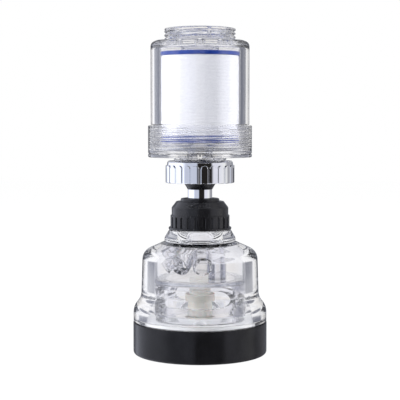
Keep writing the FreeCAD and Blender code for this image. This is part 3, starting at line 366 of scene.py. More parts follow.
@dataclass(frozen=True)
class FloorPaper(Finish):
    """White paper that mostly glows to the camera and still takes a soft shadow."""

    white: Colour = (0.9, 0.9, 0.9)
    glow: float = 0.94

    def surface(self, nodes: NodeTree) -> Socket:
        """Matt white, with a glow that only the camera sees.

        Args:
            nodes: the tree that the shader goes into.

        Returns:
            The shader's output.
        """
        matt = nodes.add("ShaderNodeBsdfDiffuse", Color=opaque(self.white))
        light = nodes.add("ShaderNodeEmission", Color=opaque(WHITE), Strength=1.0)
        seen = nodes.add("ShaderNodeLightPath").outputs["Is Camera Ray"]
        share = nodes.maths("MULTIPLY", seen, self.glow)
        return nodes.mixed(share, matt.outputs["BSDF"], light.outputs["Emission"])


FINISHES: dict[Slot, Finish] = {
    Slot.CLEAR: ClearPlastic(),
    Slot.BLACK_GLOSS: Moulding((0.003, 0.003, 0.0035), (0.005, 0.005, 0.006), 0.14, 0.22,
                               grain_depth=0.01, gloss=0.2),
    Slot.BLACK_SATIN: Moulding((0.003, 0.003, 0.0035), (0.005, 0.005, 0.006), 0.18, 0.26,
                               gloss=0.36),
    Slot.CHROME: Moulding((0.86, 0.87, 0.88), (0.80, 0.81, 0.83), 0.02, 0.06,
                          grain_depth=0.002, metallic=1.0),
    Slot.FIBRE: SpunFibre((0.93, 0.93, 0.95), (0.84, 0.84, 0.87)),
    Slot.BLUE: Moulding((0.006, 0.035, 0.24), (0.009, 0.045, 0.29), 0.25, 0.35),
    Slot.WHITE: Moulding((0.84, 0.84, 0.83), (0.78, 0.78, 0.76), 0.3, 0.45),
    Slot.PALE: Moulding((0.50, 0.48, 0.43), (0.44, 0.42, 0.37), 0.35, 0.5, soft=0.2),
    Slot.SILICONE: ClearPlastic((0.88, 0.90, 0.94), (0.85, 0.86, 0.90), 1.41, 160.0, 0.1, 0.2),
    Slot.GREY_SILICONE: Moulding((0.30, 0.31, 0.33), (0.24, 0.25, 0.27), 0.45, 0.6),
    Slot.STEEL: Moulding((0.62, 0.62, 0.63), (0.52, 0.52, 0.53), 0.2, 0.35, metallic=1.0),
}


def in_scene(name: str, data: bpy.types.ID) -> bpy.types.Object:
    """A new object in the scene that holds a mesh, lamp or camera.

    Args:
        name: the object's name.
        data: the mesh, lamp or camera.

    Returns:
        The new object.
    """
    item = bpy.data.objects.new(name, data)
    bpy.context.scene.collection.objects.link(item)
    return item


class Workshop:
    """Keeps the finishes and puts each new piece in the scene."""

    def __init__(self) -> None:
        """Build every finish once."""
        self.materials = {slot: made.material(slot.value) for slot, made in FINISHES.items()}

    def dress_nodes(self) -> None:
        """Give every carried-over solid the finish of its slot."""
        for entry in frame["record"]["subparts"]:
            item = frame["nodes"][entry["node"]]
            item.data.materials.clear()
            item.data.materials.append(self.materials[Slot(entry["material_slot"])])

    def place(self, name: str, mesh: bpy.types.Mesh, slot: Slot, body: str, node: str) -> None:
        """Put a mesh in the scene as the piece that stands for a solid.

        Args:
            name: the piece's name.
            mesh: its mesh, in metres in the part's frame.
            slot: its finish.
            body: the body that it moves with.
            node: the solid that it replaces.
        """
        piece = in_scene(name, mesh)
        mesh.materials.clear()
        mesh.materials.append(self.materials[slot])
        weighted = piece.modifiers.new("even_normals", "WEIGHTED_NORMAL")
        weighted.keep_sharp = True
        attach(piece, body)
        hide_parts(node)
        LOG.info("%s: %d faces on %s", name, len(mesh.polygons), body)


@dataclass(frozen=True)
class Corner:
    """One corner of a turned section.

    fillet is the radius that rounds it. step divides the run that follows it, for relief.
    """

    radius: float
    height: float
    fillet: float
    step: float

    def arc(self, back: Vector, ahead: Vector, arc_step: float = 12.0) -> list[Vector]:
        """Points of the fillet, or the corner itself where it stays sharp.

        Args:
            back: the way to the corner before it.
            ahead: the way to the corner after it.
            arc_step: degrees between two points.

        Returns:
            The points in order.
        """
        here = Vector((self.radius, self.height))
        if self.fillet <= 0 or min(back.length, ahead.length) < NEAR:
            return [here]
        turn = math.pi - back.angle(ahead)
        most = 0.49  # share of a run that one fillet may take
        cut = min(self.fillet * math.tan(turn / 2), most * back.length, most * ahead.length)
        radius = cut / math.tan(turn / 2)
        halfway = (back.normalized() + ahead.normalized()).normalized()
        middle = here + halfway * (radius / math.cos(turn / 2))
        first = here + back.normalized() * cut - middle
        last = here + ahead.normalized() * cut - middle
        count = max(2, math.ceil(math.degrees(turn) / arc_step))
        points = []
        for part in range(count + 1):
            share = part / count
            from_first = math.sin((1 - share) * turn) / math.sin(turn)
            from_last = math.sin(share * turn) / math.sin(turn)
            points.append(middle + first * from_first + last * from_last)
        return points


class Section:
    """A closed section beside the axis, drawn corner by corner."""

    def __init__(self) -> None:
        """Start with no corner."""
        self.corners: list[Corner] = []

    def to(self, radius: float, height: float, fillet: float = 0.0,
           step: float = 0.0) -> "Section":
        """Go on to a corner.

        Args:
            radius: how far from the axis it is.
            height: how high it is.
            fillet: the radius that rounds it.
            step: the longest piece of the run after it, or 0 to leave the run whole.

        Returns:
            The section itself, for the next corner.
        """
        self.corners.append(Corner(radius, height, fillet, step))
        return self

    def up(self, height: float, fillet: float = 0.0, step: float = 0.0) -> "Section":
        """Go straight up or down to a height."""
        return self.to(self.corners[-1].radius, height, fillet, step)

    def out(self, radius: float, fillet: float = 0.0, step: float = 0.0) -> "Section":
        """Go straight out or in to a radius."""
        return self.to(radius, self.corners[-1].height, fillet, step)

    def ball(self, centre: float, radius: float, start: float, end: float,
             count: int = 24) -> "Section":
        """Go along a ball on the axis.

        Args:
            centre: height of the ball's centre.
            radius: the ball's radius.
            start: height where the arc starts.
            end: height where it ends.
            count: how many pieces the arc is cut into.

        Returns:
            The section itself, for the next corner.
        """
        first = math.asin((start - centre) / radius)
        last = math.asin((end - centre) / radius)
        for index in range(count + 1):
            turn = first + (last - first) * index / count
            self.to(radius * math.cos(turn), centre + radius * math.sin(turn))
        return self

    def points(self) -> list[tuple[float, float]]:
        """The (radius, height) points in order, with fillets and divided runs.

        Returns:
            The points in order.
        """
        places = [Vector((corner.radius, corner.height)) for corner in self.corners]
        arcs = []
        for index, corner in enumerate(self.corners):
            ahead = places[(index + 1) % len(places)] - places[index]
            arcs.append(corner.arc(places[index - 1] - places[index], ahead))
        points = []
        for index, (arc, corner) in enumerate(zip(arcs, self.corners)):
            points += [tuple(point) for point in arc]
            span = arcs[(index + 1) % len(arcs)][0] - arc[-1]
            if corner.step > 0 and span.length > corner.step:
                count = math.ceil(span.length / corner.step)
                points += [tuple(arc[-1] + span * (part / count)) for part in range(1, count)]
        return points


def turned_mesh(name: str, section: Section, columns: int = 160,
                relief: Optional[Relief] = None) -> bpy.types.Mesh:
    """Turn a closed section about the axis.

    Args:
        name: the mesh's name.
        section: the section.
        columns: steps round the axis.
        relief: gives the new radius from arrays of angle, radius and height.

    Returns:
        The mesh, in metres.
    """
    points = section.points()
    radius = np.array([max(point[0], 0.0) for point in points])
    height = np.array([point[1] for point in points])
    angle = np.arange(columns) * 2 * math.pi / columns
    spread_angle, spread_radius = np.meshgrid(angle, radius, indexing="ij")
    spread_height = np.broadcast_to(height, spread_radius.shape)
    if relief is not None:
        spread_radius = relief(spread_angle, spread_radius, spread_height)
    places = np.stack([spread_radius * np.sin(spread_angle),
                       -spread_radius * np.cos(spread_angle), spread_height], axis=-1)
    rows = len(points)
    column, row = np.meshgrid(np.arange(columns), np.arange(rows), indexing="ij")
    next_row = (row + 1) % rows
    here = column * rows
    beside = (column + 1) % columns * rows
    faces = np.stack([here + row, beside + row, beside + next_row, here + next_row], axis=-1)
    on_axis = radius < NEAR
    faces = faces[~(on_axis[row] & on_axis[next_row])].reshape(-1, 4)
    mesh = bpy.data.meshes.new(name)
    mesh.from_pydata((places.reshape(-1, 3) * MM).tolist(), [], faces.tolist())
    return cleaned(mesh)


def cleaned(mesh: bpy.types.Mesh) -> bpy.types.Mesh:
    """Join doubled points, turn faces outwards and set smooth shading.

    Args:
        mesh: the mesh to clean.

    Returns:
        The same mesh.
    """
    work = bmesh.new()
    work.from_mesh(mesh)
    bmesh.ops.remove_doubles(work, verts=work.verts, dist=WELD)
    bmesh.ops.dissolve_degenerate(work, edges=work.edges, dist=WELD)
    bmesh.ops.recalc_face_normals(work, faces=work.faces)
    for face in work.faces:
        face.smooth = True
    work.to_mesh(mesh)
    work.free()
    mesh.set_sharp_from_angle(angle=math.radians(SHARP))
    return mesh


def carved(base: bpy.types.Mesh, tools: Iterable[bpy.types.Mesh],
           operation: str = "DIFFERENCE") -> bpy.types.Mesh:
    """Join other closed meshes to one, or cut them out of it.

    Args:
        base: the mesh to work on.
        tools: the meshes that are joined or cut out.
        operation: UNION or DIFFERENCE.

    Returns:
        A new mesh.
    """
    blank = in_scene("blank", base)
    cutters = [in_scene("cutter", mesh) for mesh in tools]
    for cutter in cutters:
        step = blank.modifiers.new("cut", "BOOLEAN")
        step.operation = operation
        step.solver = "EXACT"
        step.object = cutter
    graph = bpy.context.evaluated_depsgraph_get()
    made = bpy.data.meshes.new_from_object(blank.evaluated_get(graph))
    for item in [blank] + cutters:
        bpy.data.objects.remove(item)
    return cleaned(made)


def smooth_step(value: np.ndarray) -> np.ndarray:
    """Soft rise from 0 to 1 as the value goes from 0 to 1."""
    level = np.clip(value, 0, 1)
    return level * level * (3 - 2 * level)


@dataclass(frozen=True)
class Thread:
    """A screw thread cut into a wall of one radius.

    crest, flank and run_out are shares of the pitch: half the crest's width, the width of a
    flank and the length over which the thread fades at either end.
    """

    wall: float
    foot: float
    top: float
    pitch: float
    depth: float
    inside: bool = False
    slots: tuple[float, ...] = ()
    slot_width: float = 1.4
    slot_edge: float = 0.15
    crest: float = 0.25
    flank: float = 0.55
    run_out: float = 0.7

    def cut(self, angle: np.ndarray, radius: np.ndarray, height: np.ndarray) -> np.ndarray:
        """The wall's radius with the thread cut in.

        Args:
            angle: angles round the axis.
            radius: radii before the cut.
            height: heights.

        Returns:
            The new radii.
        """
        here = np.abs(radius - self.wall) < 2 * SLACK
        here &= (height > self.foot) & (height < self.top)
        phase = np.mod((height - self.foot) / self.pitch - angle / FULL_TURN, 1.0)
        flank = np.abs(phase - 0.5) * 2
        groove = smooth_step((flank - self.crest) / self.flank)
        run_out = self.run_out * self.pitch
        fade = smooth_step((height - self.foot) / run_out)
        fade = fade * smooth_step((self.top - height) / run_out)
        depth = self.depth * groove * fade
        for middle in self.slots:
            apart = np.mod(angle - math.radians(middle) + math.pi, FULL_TURN) - math.pi
            into = self.slot_width / 2 + self.slot_edge - np.abs(apart) * self.wall
            gap = smooth_step(into / (2 * self.slot_edge))
            depth = np.maximum(depth, self.depth * gap * fade)
        return radius + np.where(here, depth if self.inside else -depth, 0.0)


@dataclass
class FilterUnit:
    """Clear housing, screw cap and the cartridge inside."""

    housing_radius: float = 19.65
    housing_bore: float = 16.2
    housing_foot: float = 82.3
    housing_step: float = 91.6
    housing_top: float = 124.7
    skirt_radius: float = 18.6
    roof: float = 122.3
    inlet_floor: float = 124.2
    inlet_ledge: float = 126.4
    inlet_top: float = 129.6
    neck_radius: float = 14.1
    neck_bore: float = 10.6
    ledge_radius: float = 9.95
    boss_radius: float = 7.6
    boss_bore: float = 5.8
    boss_foot: float = 120.5
    hole_ring: float = 8.75
    hole_radius: float = 1.1
    holes: int = 8
    base_radius: float = 20.7
    base_bore: float = 18.9
    base_foot: float = 78.7
    base_floor: float = 81.2
    base_top: float = 91.3
    base_line: float = 80.2
    line_depth: float = 0.3
    notches: int = 5
    notch_width: float = 1.2
    notch_depth: float = 0.8
    stand_radius: float = 6.0
    stand_top: float = 84.2
    nipple_radius: float = 4.6
    nipple_top: float = 87.0
    outlet_radius: float = 3.4
    spout_radius: float = 10.5
    spout_bore: float = 8.4
    spout_throat: float = 6.2
    spout_foot: float = 73.6
    throat_foot: float = 77.6
    throat_top: float = 79.4
    pitch: float = 1.5
    neck_depth: float = 0.6
    cap_depth: float = 0.32
    skirt_depth: float = 0.05
    spout_depth: float = 0.4
    thread_end: float = 0.3
    skirt_lead: float = 0.8
    cap_lead: float = 0.4
    cap_end: float = 0.2
    shoulder_round: float = 2.2
    roof_round: float = 1.0
    wind_depth: float = 0.012
    wind_up: float = 5.2
    wind_down: float = 4.6
    neck_slots: tuple[float, ...] = (15.0, 195.0)
    media_radius: float = 15.4
    core_radius: float = 6.65
    cap_radius: float = 15.7
    media_foot: float = 86.9
    media_top: float = 118.6
    cartridge_foot: float = 84.3
    cartridge_top: float = 120.2
    nipple_gap: float = 4.65
    hub_radius: float = 5.55
    hub_length: float = 3.0

    def housing_mesh(self) -> bpy.types.Mesh:
        """The clear cup with its threaded inlet neck.

        Returns:
            The mesh, in metres.
        """
        neck = Thread(self.neck_radius, self.housing_top + self.thread_end,
                      self.inlet_top - self.thread_end, self.pitch, self.neck_depth,
                      slots=self.neck_slots)
        skirt = Thread(self.skirt_radius, self.housing_foot + self.skirt_lead,
                       self.housing_step - self.cap_lead, self.pitch, self.skirt_depth)

        def relief(angle: np.ndarray, radius: np.ndarray, height: np.ndarray) -> np.ndarray:
            """Both threads."""
            return skirt.cut(angle, neck.cut(angle, radius, height), height)

        section = Section().to(self.housing_bore, self.housing_foot, SOFT)
        section.out(self.skirt_radius, SOFT, FINE).up(self.housing_step, TIGHT)
        section.out(self.housing_radius, SOFT).up(self.housing_top, self.shoulder_round)
        section.out(self.neck_radius, LIGHT, FINE).up(self.inlet_top, BOLD)
        section.out(self.neck_bore, SOFT).up(self.inlet_ledge, HAIR).out(self.ledge_radius, HAIR)
        section.up(self.inlet_floor, SOFT).out(0).up(self.roof).out(self.boss_bore, CRISP)
        section.up(self.boss_foot, CRISP).out(self.boss_radius, SOFT).up(self.roof, SOFT)
        section.out(self.housing_bore, self.roof_round)
        mesh = turned_mesh("filter_housing_clear", section, columns=216, relief=relief)
        headings = [FULL_TURN * index / self.holes for index in range(self.holes)]
        drills = [drill(self.hole_radius, self.roof - OVERRUN, self.inlet_floor + OVERRUN,
                        self.hole_ring, heading) for heading in headings]
        return carved(mesh, drills)

    def base_mesh(self) -> bpy.types.Mesh:
        """The clear screw cap with its spout, grip notches and inner thread.

        Returns:
            The mesh, in metres.
        """
        inner = Thread(self.base_bore, self.base_floor + self.cap_lead,
                       self.base_top - self.cap_end, self.pitch, self.cap_depth, inside=True)
        spout = Thread(self.spout_radius, self.spout_foot + self.thread_end,
                       self.base_foot - self.thread_end, self.pitch, self.spout_depth)
        line_foot = self.base_line - self.line_depth

        def relief(angle: np.ndarray, radius: np.ndarray, height: np.ndarray) -> np.ndarray:
            """Threads, and the notches in the rim under the line.

            Args:
                angle: angles round the axis.
                radius: radii before the relief.
                height: heights.

            Returns:
                The new radii.
            """
            radius = spout.cut(angle, inner.cut(angle, radius, height), height)
            turn = FULL_TURN / self.notches
            apart = np.abs(np.mod(angle + turn / 2, turn) - turn / 2) * self.base_radius
            notch = smooth_step((self.notch_width / 2 + HAIR - apart) / (2 * HAIR))
            below = (height < line_foot + 5 * SLACK) & (height > self.base_foot - SLACK)
            floor = self.base_radius - self.notch_depth
            rim = below & (radius > floor)
            return np.where(rim, radius - (radius - floor) * notch, radius)

        section = Section().to(self.spout_radius, self.spout_foot, CRISP, FINE)
        section.up(self.base_foot, SOFT).out(self.base_radius - self.notch_depth)
        section.out(self.base_radius, WIDE, step=0.3).up(line_foot)
        section.to(self.base_radius - self.line_depth, self.base_line, HAIR)
        section.to(self.base_radius, self.base_line + self.line_depth).up(self.base_top, BOLD)
        section.out(self.base_bore, SOFT, FINE).up(self.base_floor, FULL)
        section.out(self.stand_radius, SOFT).up(self.stand_top, CRISP)
        section.out(self.nipple_radius, CRISP).up(self.nipple_top, SOFT)
        section.out(self.outlet_radius, CRISP).up(self.throat_top, CRISP)
        section.out(self.spout_throat, SOFT).up(self.throat_foot, CRISP)
        section.out(self.spout_bore, CRISP).up(self.spout_foot, CRISP)
        return turned_mesh("filter_base_clear", section, columns=300, relief=relief)

    def media_mesh(self) -> bpy.types.Mesh:
        """The spun fibre tube with its slight winding relief.

        Returns:
            The mesh, in metres.
        """
        def relief(angle: np.ndarray, radius: np.ndarray, height: np.ndarray) -> np.ndarray:
            """Shallow crossed windings on the outside.

            Args:
                angle: angles round the axis.
                radius: radii before the relief.
                height: heights.

            Returns:
                The new radii.
            """
            wound = np.sin(height * self.wind_up + angle * 3)
            wound = wound + np.sin(height * self.wind_down - angle * 2)
            outside = radius > self.media_radius - SLACK
            return np.where(outside, radius - self.wind_depth * (2 + wound), radius)

        section = Section().to(self.core_radius, self.media_foot)
        section.out(self.media_radius, CRISP, step=0.25).up(self.media_top, CRISP)
        section.out(self.core_radius)
        return turned_mesh("cartridge_fibre", section, columns=144, relief=relief)

    def cap_meshes(self) -> list[bpy.types.Mesh]:
        """The blue bottom and top caps.

        Returns:
            The bottom cap's mesh and the top cap's.
        """
        hub_top = self.media_foot + self.hub_length
        hub_foot = self.media_top - self.hub_length
        section = Section().to(self.nipple_gap, self.cartridge_foot, CRISP)
        section.out(self.cap_radius, FULL).up(self.media_foot, CRISP).out(self.hub_radius)
        section.up(hub_top, CRISP).out(self.nipple_gap, CRISP)
        bottom = turned_mesh("cartridge_cap_low", section)
        section = Section().to(0, hub_foot).out(self.hub_radius, CRISP).up(self.media_top)
        section.out(self.cap_radius, CRISP).up(self.cartridge_top, FULL).out(0)
        top = turned_mesh("cartridge_cap_high", section)
        return [bottom, top]

    def build(self, shop: Workshop) -> None:
        """Build and place the pieces of the filter unit.

        Args:
            shop: places each piece with its finish.
        """
        shop.place("clear_housing", self.housing_mesh(), Slot.CLEAR, "housing", "filter_housing")
        shop.place("clear_screw_cap", self.base_mesh(), Slot.CLEAR, "filter", "filter_base")
        shop.place("fibre_tube", self.media_mesh(), Slot.FIBRE, "filter", "cartridge_media")
        bottom, top = self.cap_meshes()
        shop.place("blue_cap_low", bottom, Slot.BLUE, "filter", "cartridge_bottom_cap")
        shop.place("blue_cap_high", top, Slot.BLUE, "filter", "cartridge_top_cap")


def drill(radius: float, foot: float, top: float, ring: float = 0.0,
          heading: float = 0.0) -> bpy.types.Mesh:
    """An upright rod, to cut a hole with or to join on.

    Args:
        radius: its radius.
        foot: height of its lower end.
        top: height of its upper end.
        ring: how far from the axis it stands.
        heading: where on that ring, in radians from +X towards +Y.

    Returns:
        The rod's mesh.
    """
    section = Section().to(0, foot).out(radius).up(top).out(0)
    rod = turned_mesh("rod", section, columns=48)
    across = ring * math.cos(heading) * MM
    along = ring * math.sin(heading) * MM
    rod.transform(Matrix.Translation((across, along, 0)))
    return rod


@dataclass
class Swivel:
    """Chrome nut and stem, black balls, seat ring and bell nut."""

    lower_ball: float = 57.5
    upper_ball: float = 71.3
    ball_radius: float = 7.0
    seat_radius: float = 7.05
    ball_end: float = 5.9
    ball_sink: float = 4.0
    stem_bore: float = 3.0
    stem_spigot: float = 4.0
    stem_radius: float = 4.86
    stem_foot: float = 62.3
    fit_gap: float = 0.05
    cone_foot: float = 65.9
    cone_top: float = 68.2
    cone_flare: float = 0.1
    nut_radius: float = 13.77
    nut_foot: float = 68.5
    nut_top: float = 77.3
    nut_step: float = 72.5
    nut_thread: float = 10.6
    crown_foot: float = 75.6
    crown_radius: float = 13.1
    bevel_rise: float = 0.6
    bevel_run: float = 0.5
    flutes: int = 24
    flute_width: float = 0.9
    flute_depth: float = 0.6
    flute_edge: float = 0.12
    arch_height: float = 1.35
    rim_height: float = 0.35
    rim_radius: float = 6.8
    seat_foot: float = 57.9
    seat_flange_top: float = 59.6
    seat_flange: float = 8.8
    seat_ring: float = 7.73
    seat_throat: float = 6.4
    seat_mouth: float = 6.6
    bell_foot: float = 49.9
    bell_rib_foot: float = 50.8
    bell_rib_top: float = 55.6
    bell_edge: float = 58.6
    bell_crest: float = 61.1
    bell_lip: float = 12.56
    bell_rib: float = 11.82
    bell_radius: float = 11.35
    bell_top: float = 9.47
    bell_thread: float = 10.3
    bell_inner: float = 9.0
    bell_mouth: float = 7.83
    bell_crown_foot: float = 59.9
    bell_thread_top: float = 57.6
    ribs: int = 24
    rib_groove: float = 1.0
    rib_depth: float = 0.5

    def nut_mesh(self) -> bpy.types.Mesh:
        """Chrome nut with raised lands that end in arches under its crown.

        Returns:
            The mesh, in metres.
        """
        spacing = FULL_TURN / self.flutes
        land = self.nut_radius * spacing / 2 - self.flute_width / 2
        arch_foot = self.crown_foot - self.arch_height

        def relief(angle: np.ndarray, radius: np.ndarray, height: np.ndarray) -> np.ndarray:
            """Grooves between the lands, wider round each arch.

            Args:
                angle: angles round the axis.
                radius: radii before the relief.
                height: heights.

            Returns:
                The new radii.
            """
            apart = np.abs(np.mod(angle, spacing) - spacing / 2) * self.nut_radius
            rise = np.clip((height - arch_foot) / self.arch_height, 0, 1)
            half = land * np.sqrt(np.clip(1 - rise * rise, 0, 1))
            groove = smooth_step((apart - half + self.flute_edge) / (2 * self.flute_edge))
            side = (radius > self.nut_radius - WIDE) & (height < self.crown_foot + SLACK)
            low = smooth_step((height - self.nut_foot + CRISP) / SOFT)
            return np.where(side, radius - self.flute_depth * groove * low, radius)

        rim_top = self.nut_foot + self.rim_height
        section = Section()
        section.ball(self.upper_ball, self.seat_radius, self.upper_ball, rim_top, SEAT_PARTS)
        section.to(self.rim_radius, self.nut_foot).out(self.nut_radius, FULL, step=0.25)
        section.up(arch_foot, step=0.07).up(self.crown_foot, step=0.1)
        section.out(self.nut_radius - self.flute_depth)
        section.to(self.crown_radius, self.nut_top - self.bevel_rise, SOFT)
        section.to(self.crown_radius - self.bevel_run, self.nut_top, LIGHT)
        section.out(self.nut_thread, SOFT)
        section.up(self.nut_step, CRISP).out(self.seat_radius, CRISP)
        return turned_mesh("swivel_nut_chrome", section, columns=480, relief=relief)

    def bell_nut_mesh(self) -> bpy.types.Mesh:
        """Black nut with a lip, ribbed band and chamfered crown.

        Returns:
            The mesh, in metres.
        """
        spacing = FULL_TURN / self.ribs
        arch = self.bell_rib_top - self.rib_depth - self.rib_groove / 2

        def relief(angle: np.ndarray, radius: np.ndarray, height: np.ndarray) -> np.ndarray:
            """Narrow upright grooves with round tops.

            Args:
                angle: angles round the axis.
                radius: radii before the relief.
                height: heights.

            Returns:
                The new radii.
            """
            apart = np.abs(np.mod(angle, spacing) - spacing / 2) * self.bell_rib
            above = np.maximum(height - arch, 0)
            reach = np.sqrt(apart * apart + above * above)
            groove = smooth_step((self.rib_groove / 2 + HAIR - reach) / (2 * HAIR))
            band = (radius > self.bell_rib - BOLD) & (radius < self.bell_rib + 2 * SLACK)
            band &= (height > self.bell_rib_foot - SLACK) & (height < self.bell_rib_top)
            return np.where(band, radius - self.rib_depth * groove, radius)

        section = Section().to(self.bell_thread, self.bell_foot, CRISP).out(self.bell_lip, CRISP)
        section.up(self.bell_rib_foot, LIGHT).out(self.bell_rib, HAIR, step=0.15)
        section.up(self.bell_rib_top, BOLD).out(self.bell_radius, SOFT).up(self.bell_edge, WIDE)
        section.to(self.bell_top, self.bell_crest, FULL).out(self.bell_mouth, CRISP)
        section.up(self.bell_crown_foot, HAIR).out(self.bell_inner, CRISP)
        section.up(self.bell_thread_top, CRISP).out(self.bell_thread, CRISP)
        return turned_mesh("bell_nut_black", section, columns=360, relief=relief)

    def stem_mesh(self) -> bpy.types.Mesh:
        """Chrome tube between the balls.

        Returns:
            The mesh, in metres.
        """
        low = self.lower_ball - self.ball_sink
        high = self.upper_ball + self.ball_sink
        section = Section().to(self.stem_bore, low).out(self.stem_spigot).up(self.stem_foot)
        section.out(self.stem_radius, TIGHT).up(self.cone_foot, HAIR).out(self.stem_spigot)
        section.up(high).out(self.stem_bore)
        return turned_mesh("swivel_stem_chrome", section)

    def ball_meshes(self) -> list[bpy.types.Mesh]:
        """The lower and upper balls; the upper one ends in a cone over the stem.

        Returns:
            The lower ball's mesh and the upper ball's.
        """
        hole = self.stem_spigot + self.fit_gap
        low_sink = self.lower_ball - self.ball_sink - self.fit_gap
        high_sink = self.upper_ball + self.ball_sink + self.fit_gap
        low_end = self.lower_ball - self.ball_end
        high_end = self.upper_ball + self.ball_end
        flare = self.stem_radius + self.cone_flare
        section = Section().to(self.stem_bore, low_end)
        section.ball(self.lower_ball, self.ball_radius, low_end, self.stem_foot)
        section.to(hole, self.stem_foot).up(low_sink).out(self.stem_bore)
        lower = turned_mesh("lower_ball_black", section)
        section = Section().to(hole, self.cone_foot).out(flare, TIGHT)
        section.ball(self.upper_ball, self.ball_radius, self.cone_top, high_end)
        section.to(self.stem_bore, high_end).up(high_sink).out(hole)
        upper = turned_mesh("upper_ball_black", section)
        return [lower, upper]

    def seat_ring_mesh(self) -> bpy.types.Mesh:
        """Black ring that stands out of the bell nut round the stem.

        Returns:
            The mesh, in metres.
        """
        throat_height = self.lower_ball + math.sqrt(self.seat_radius ** 2 - self.seat_throat ** 2)
        section = Section()
        section.ball(self.lower_ball, self.seat_radius, self.seat_foot, throat_height, SEAT_PARTS)
        section.to(self.seat_mouth, self.stem_foot, HAIR).out(self.seat_ring, WIDE)
        section.up(self.seat_flange_top, HAIR).out(self.seat_flange, CRISP)
        section.up(self.seat_foot, CRISP)
        return turned_mesh("seat_ring_black", section)

    def build(self, shop: Workshop) -> None:
        """Build and place the pieces of the swivel.

        Args:
            shop: places each piece with its finish.
        """
        shop.place("chrome_nut", self.nut_mesh(), Slot.CHROME, "filter", "swivel_nut")
        shop.place("chrome_stem", self.stem_mesh(), Slot.CHROME, "stem", "swivel_stem")
        lower, upper = self.ball_meshes()
        black = Slot.BLACK_SATIN
        ring = self.seat_ring_mesh()
        shop.place("black_ball_low", lower, black, "stem", "lower_ball")
        shop.place("black_ball_high", upper, black, "stem", "upper_ball")
        shop.place("black_seat_ring", ring, black, "lower_seat", "lower_seat_ring")
        shop.place("black_bell_nut", self.bell_nut_mesh(), black, "head", "bell_nut")


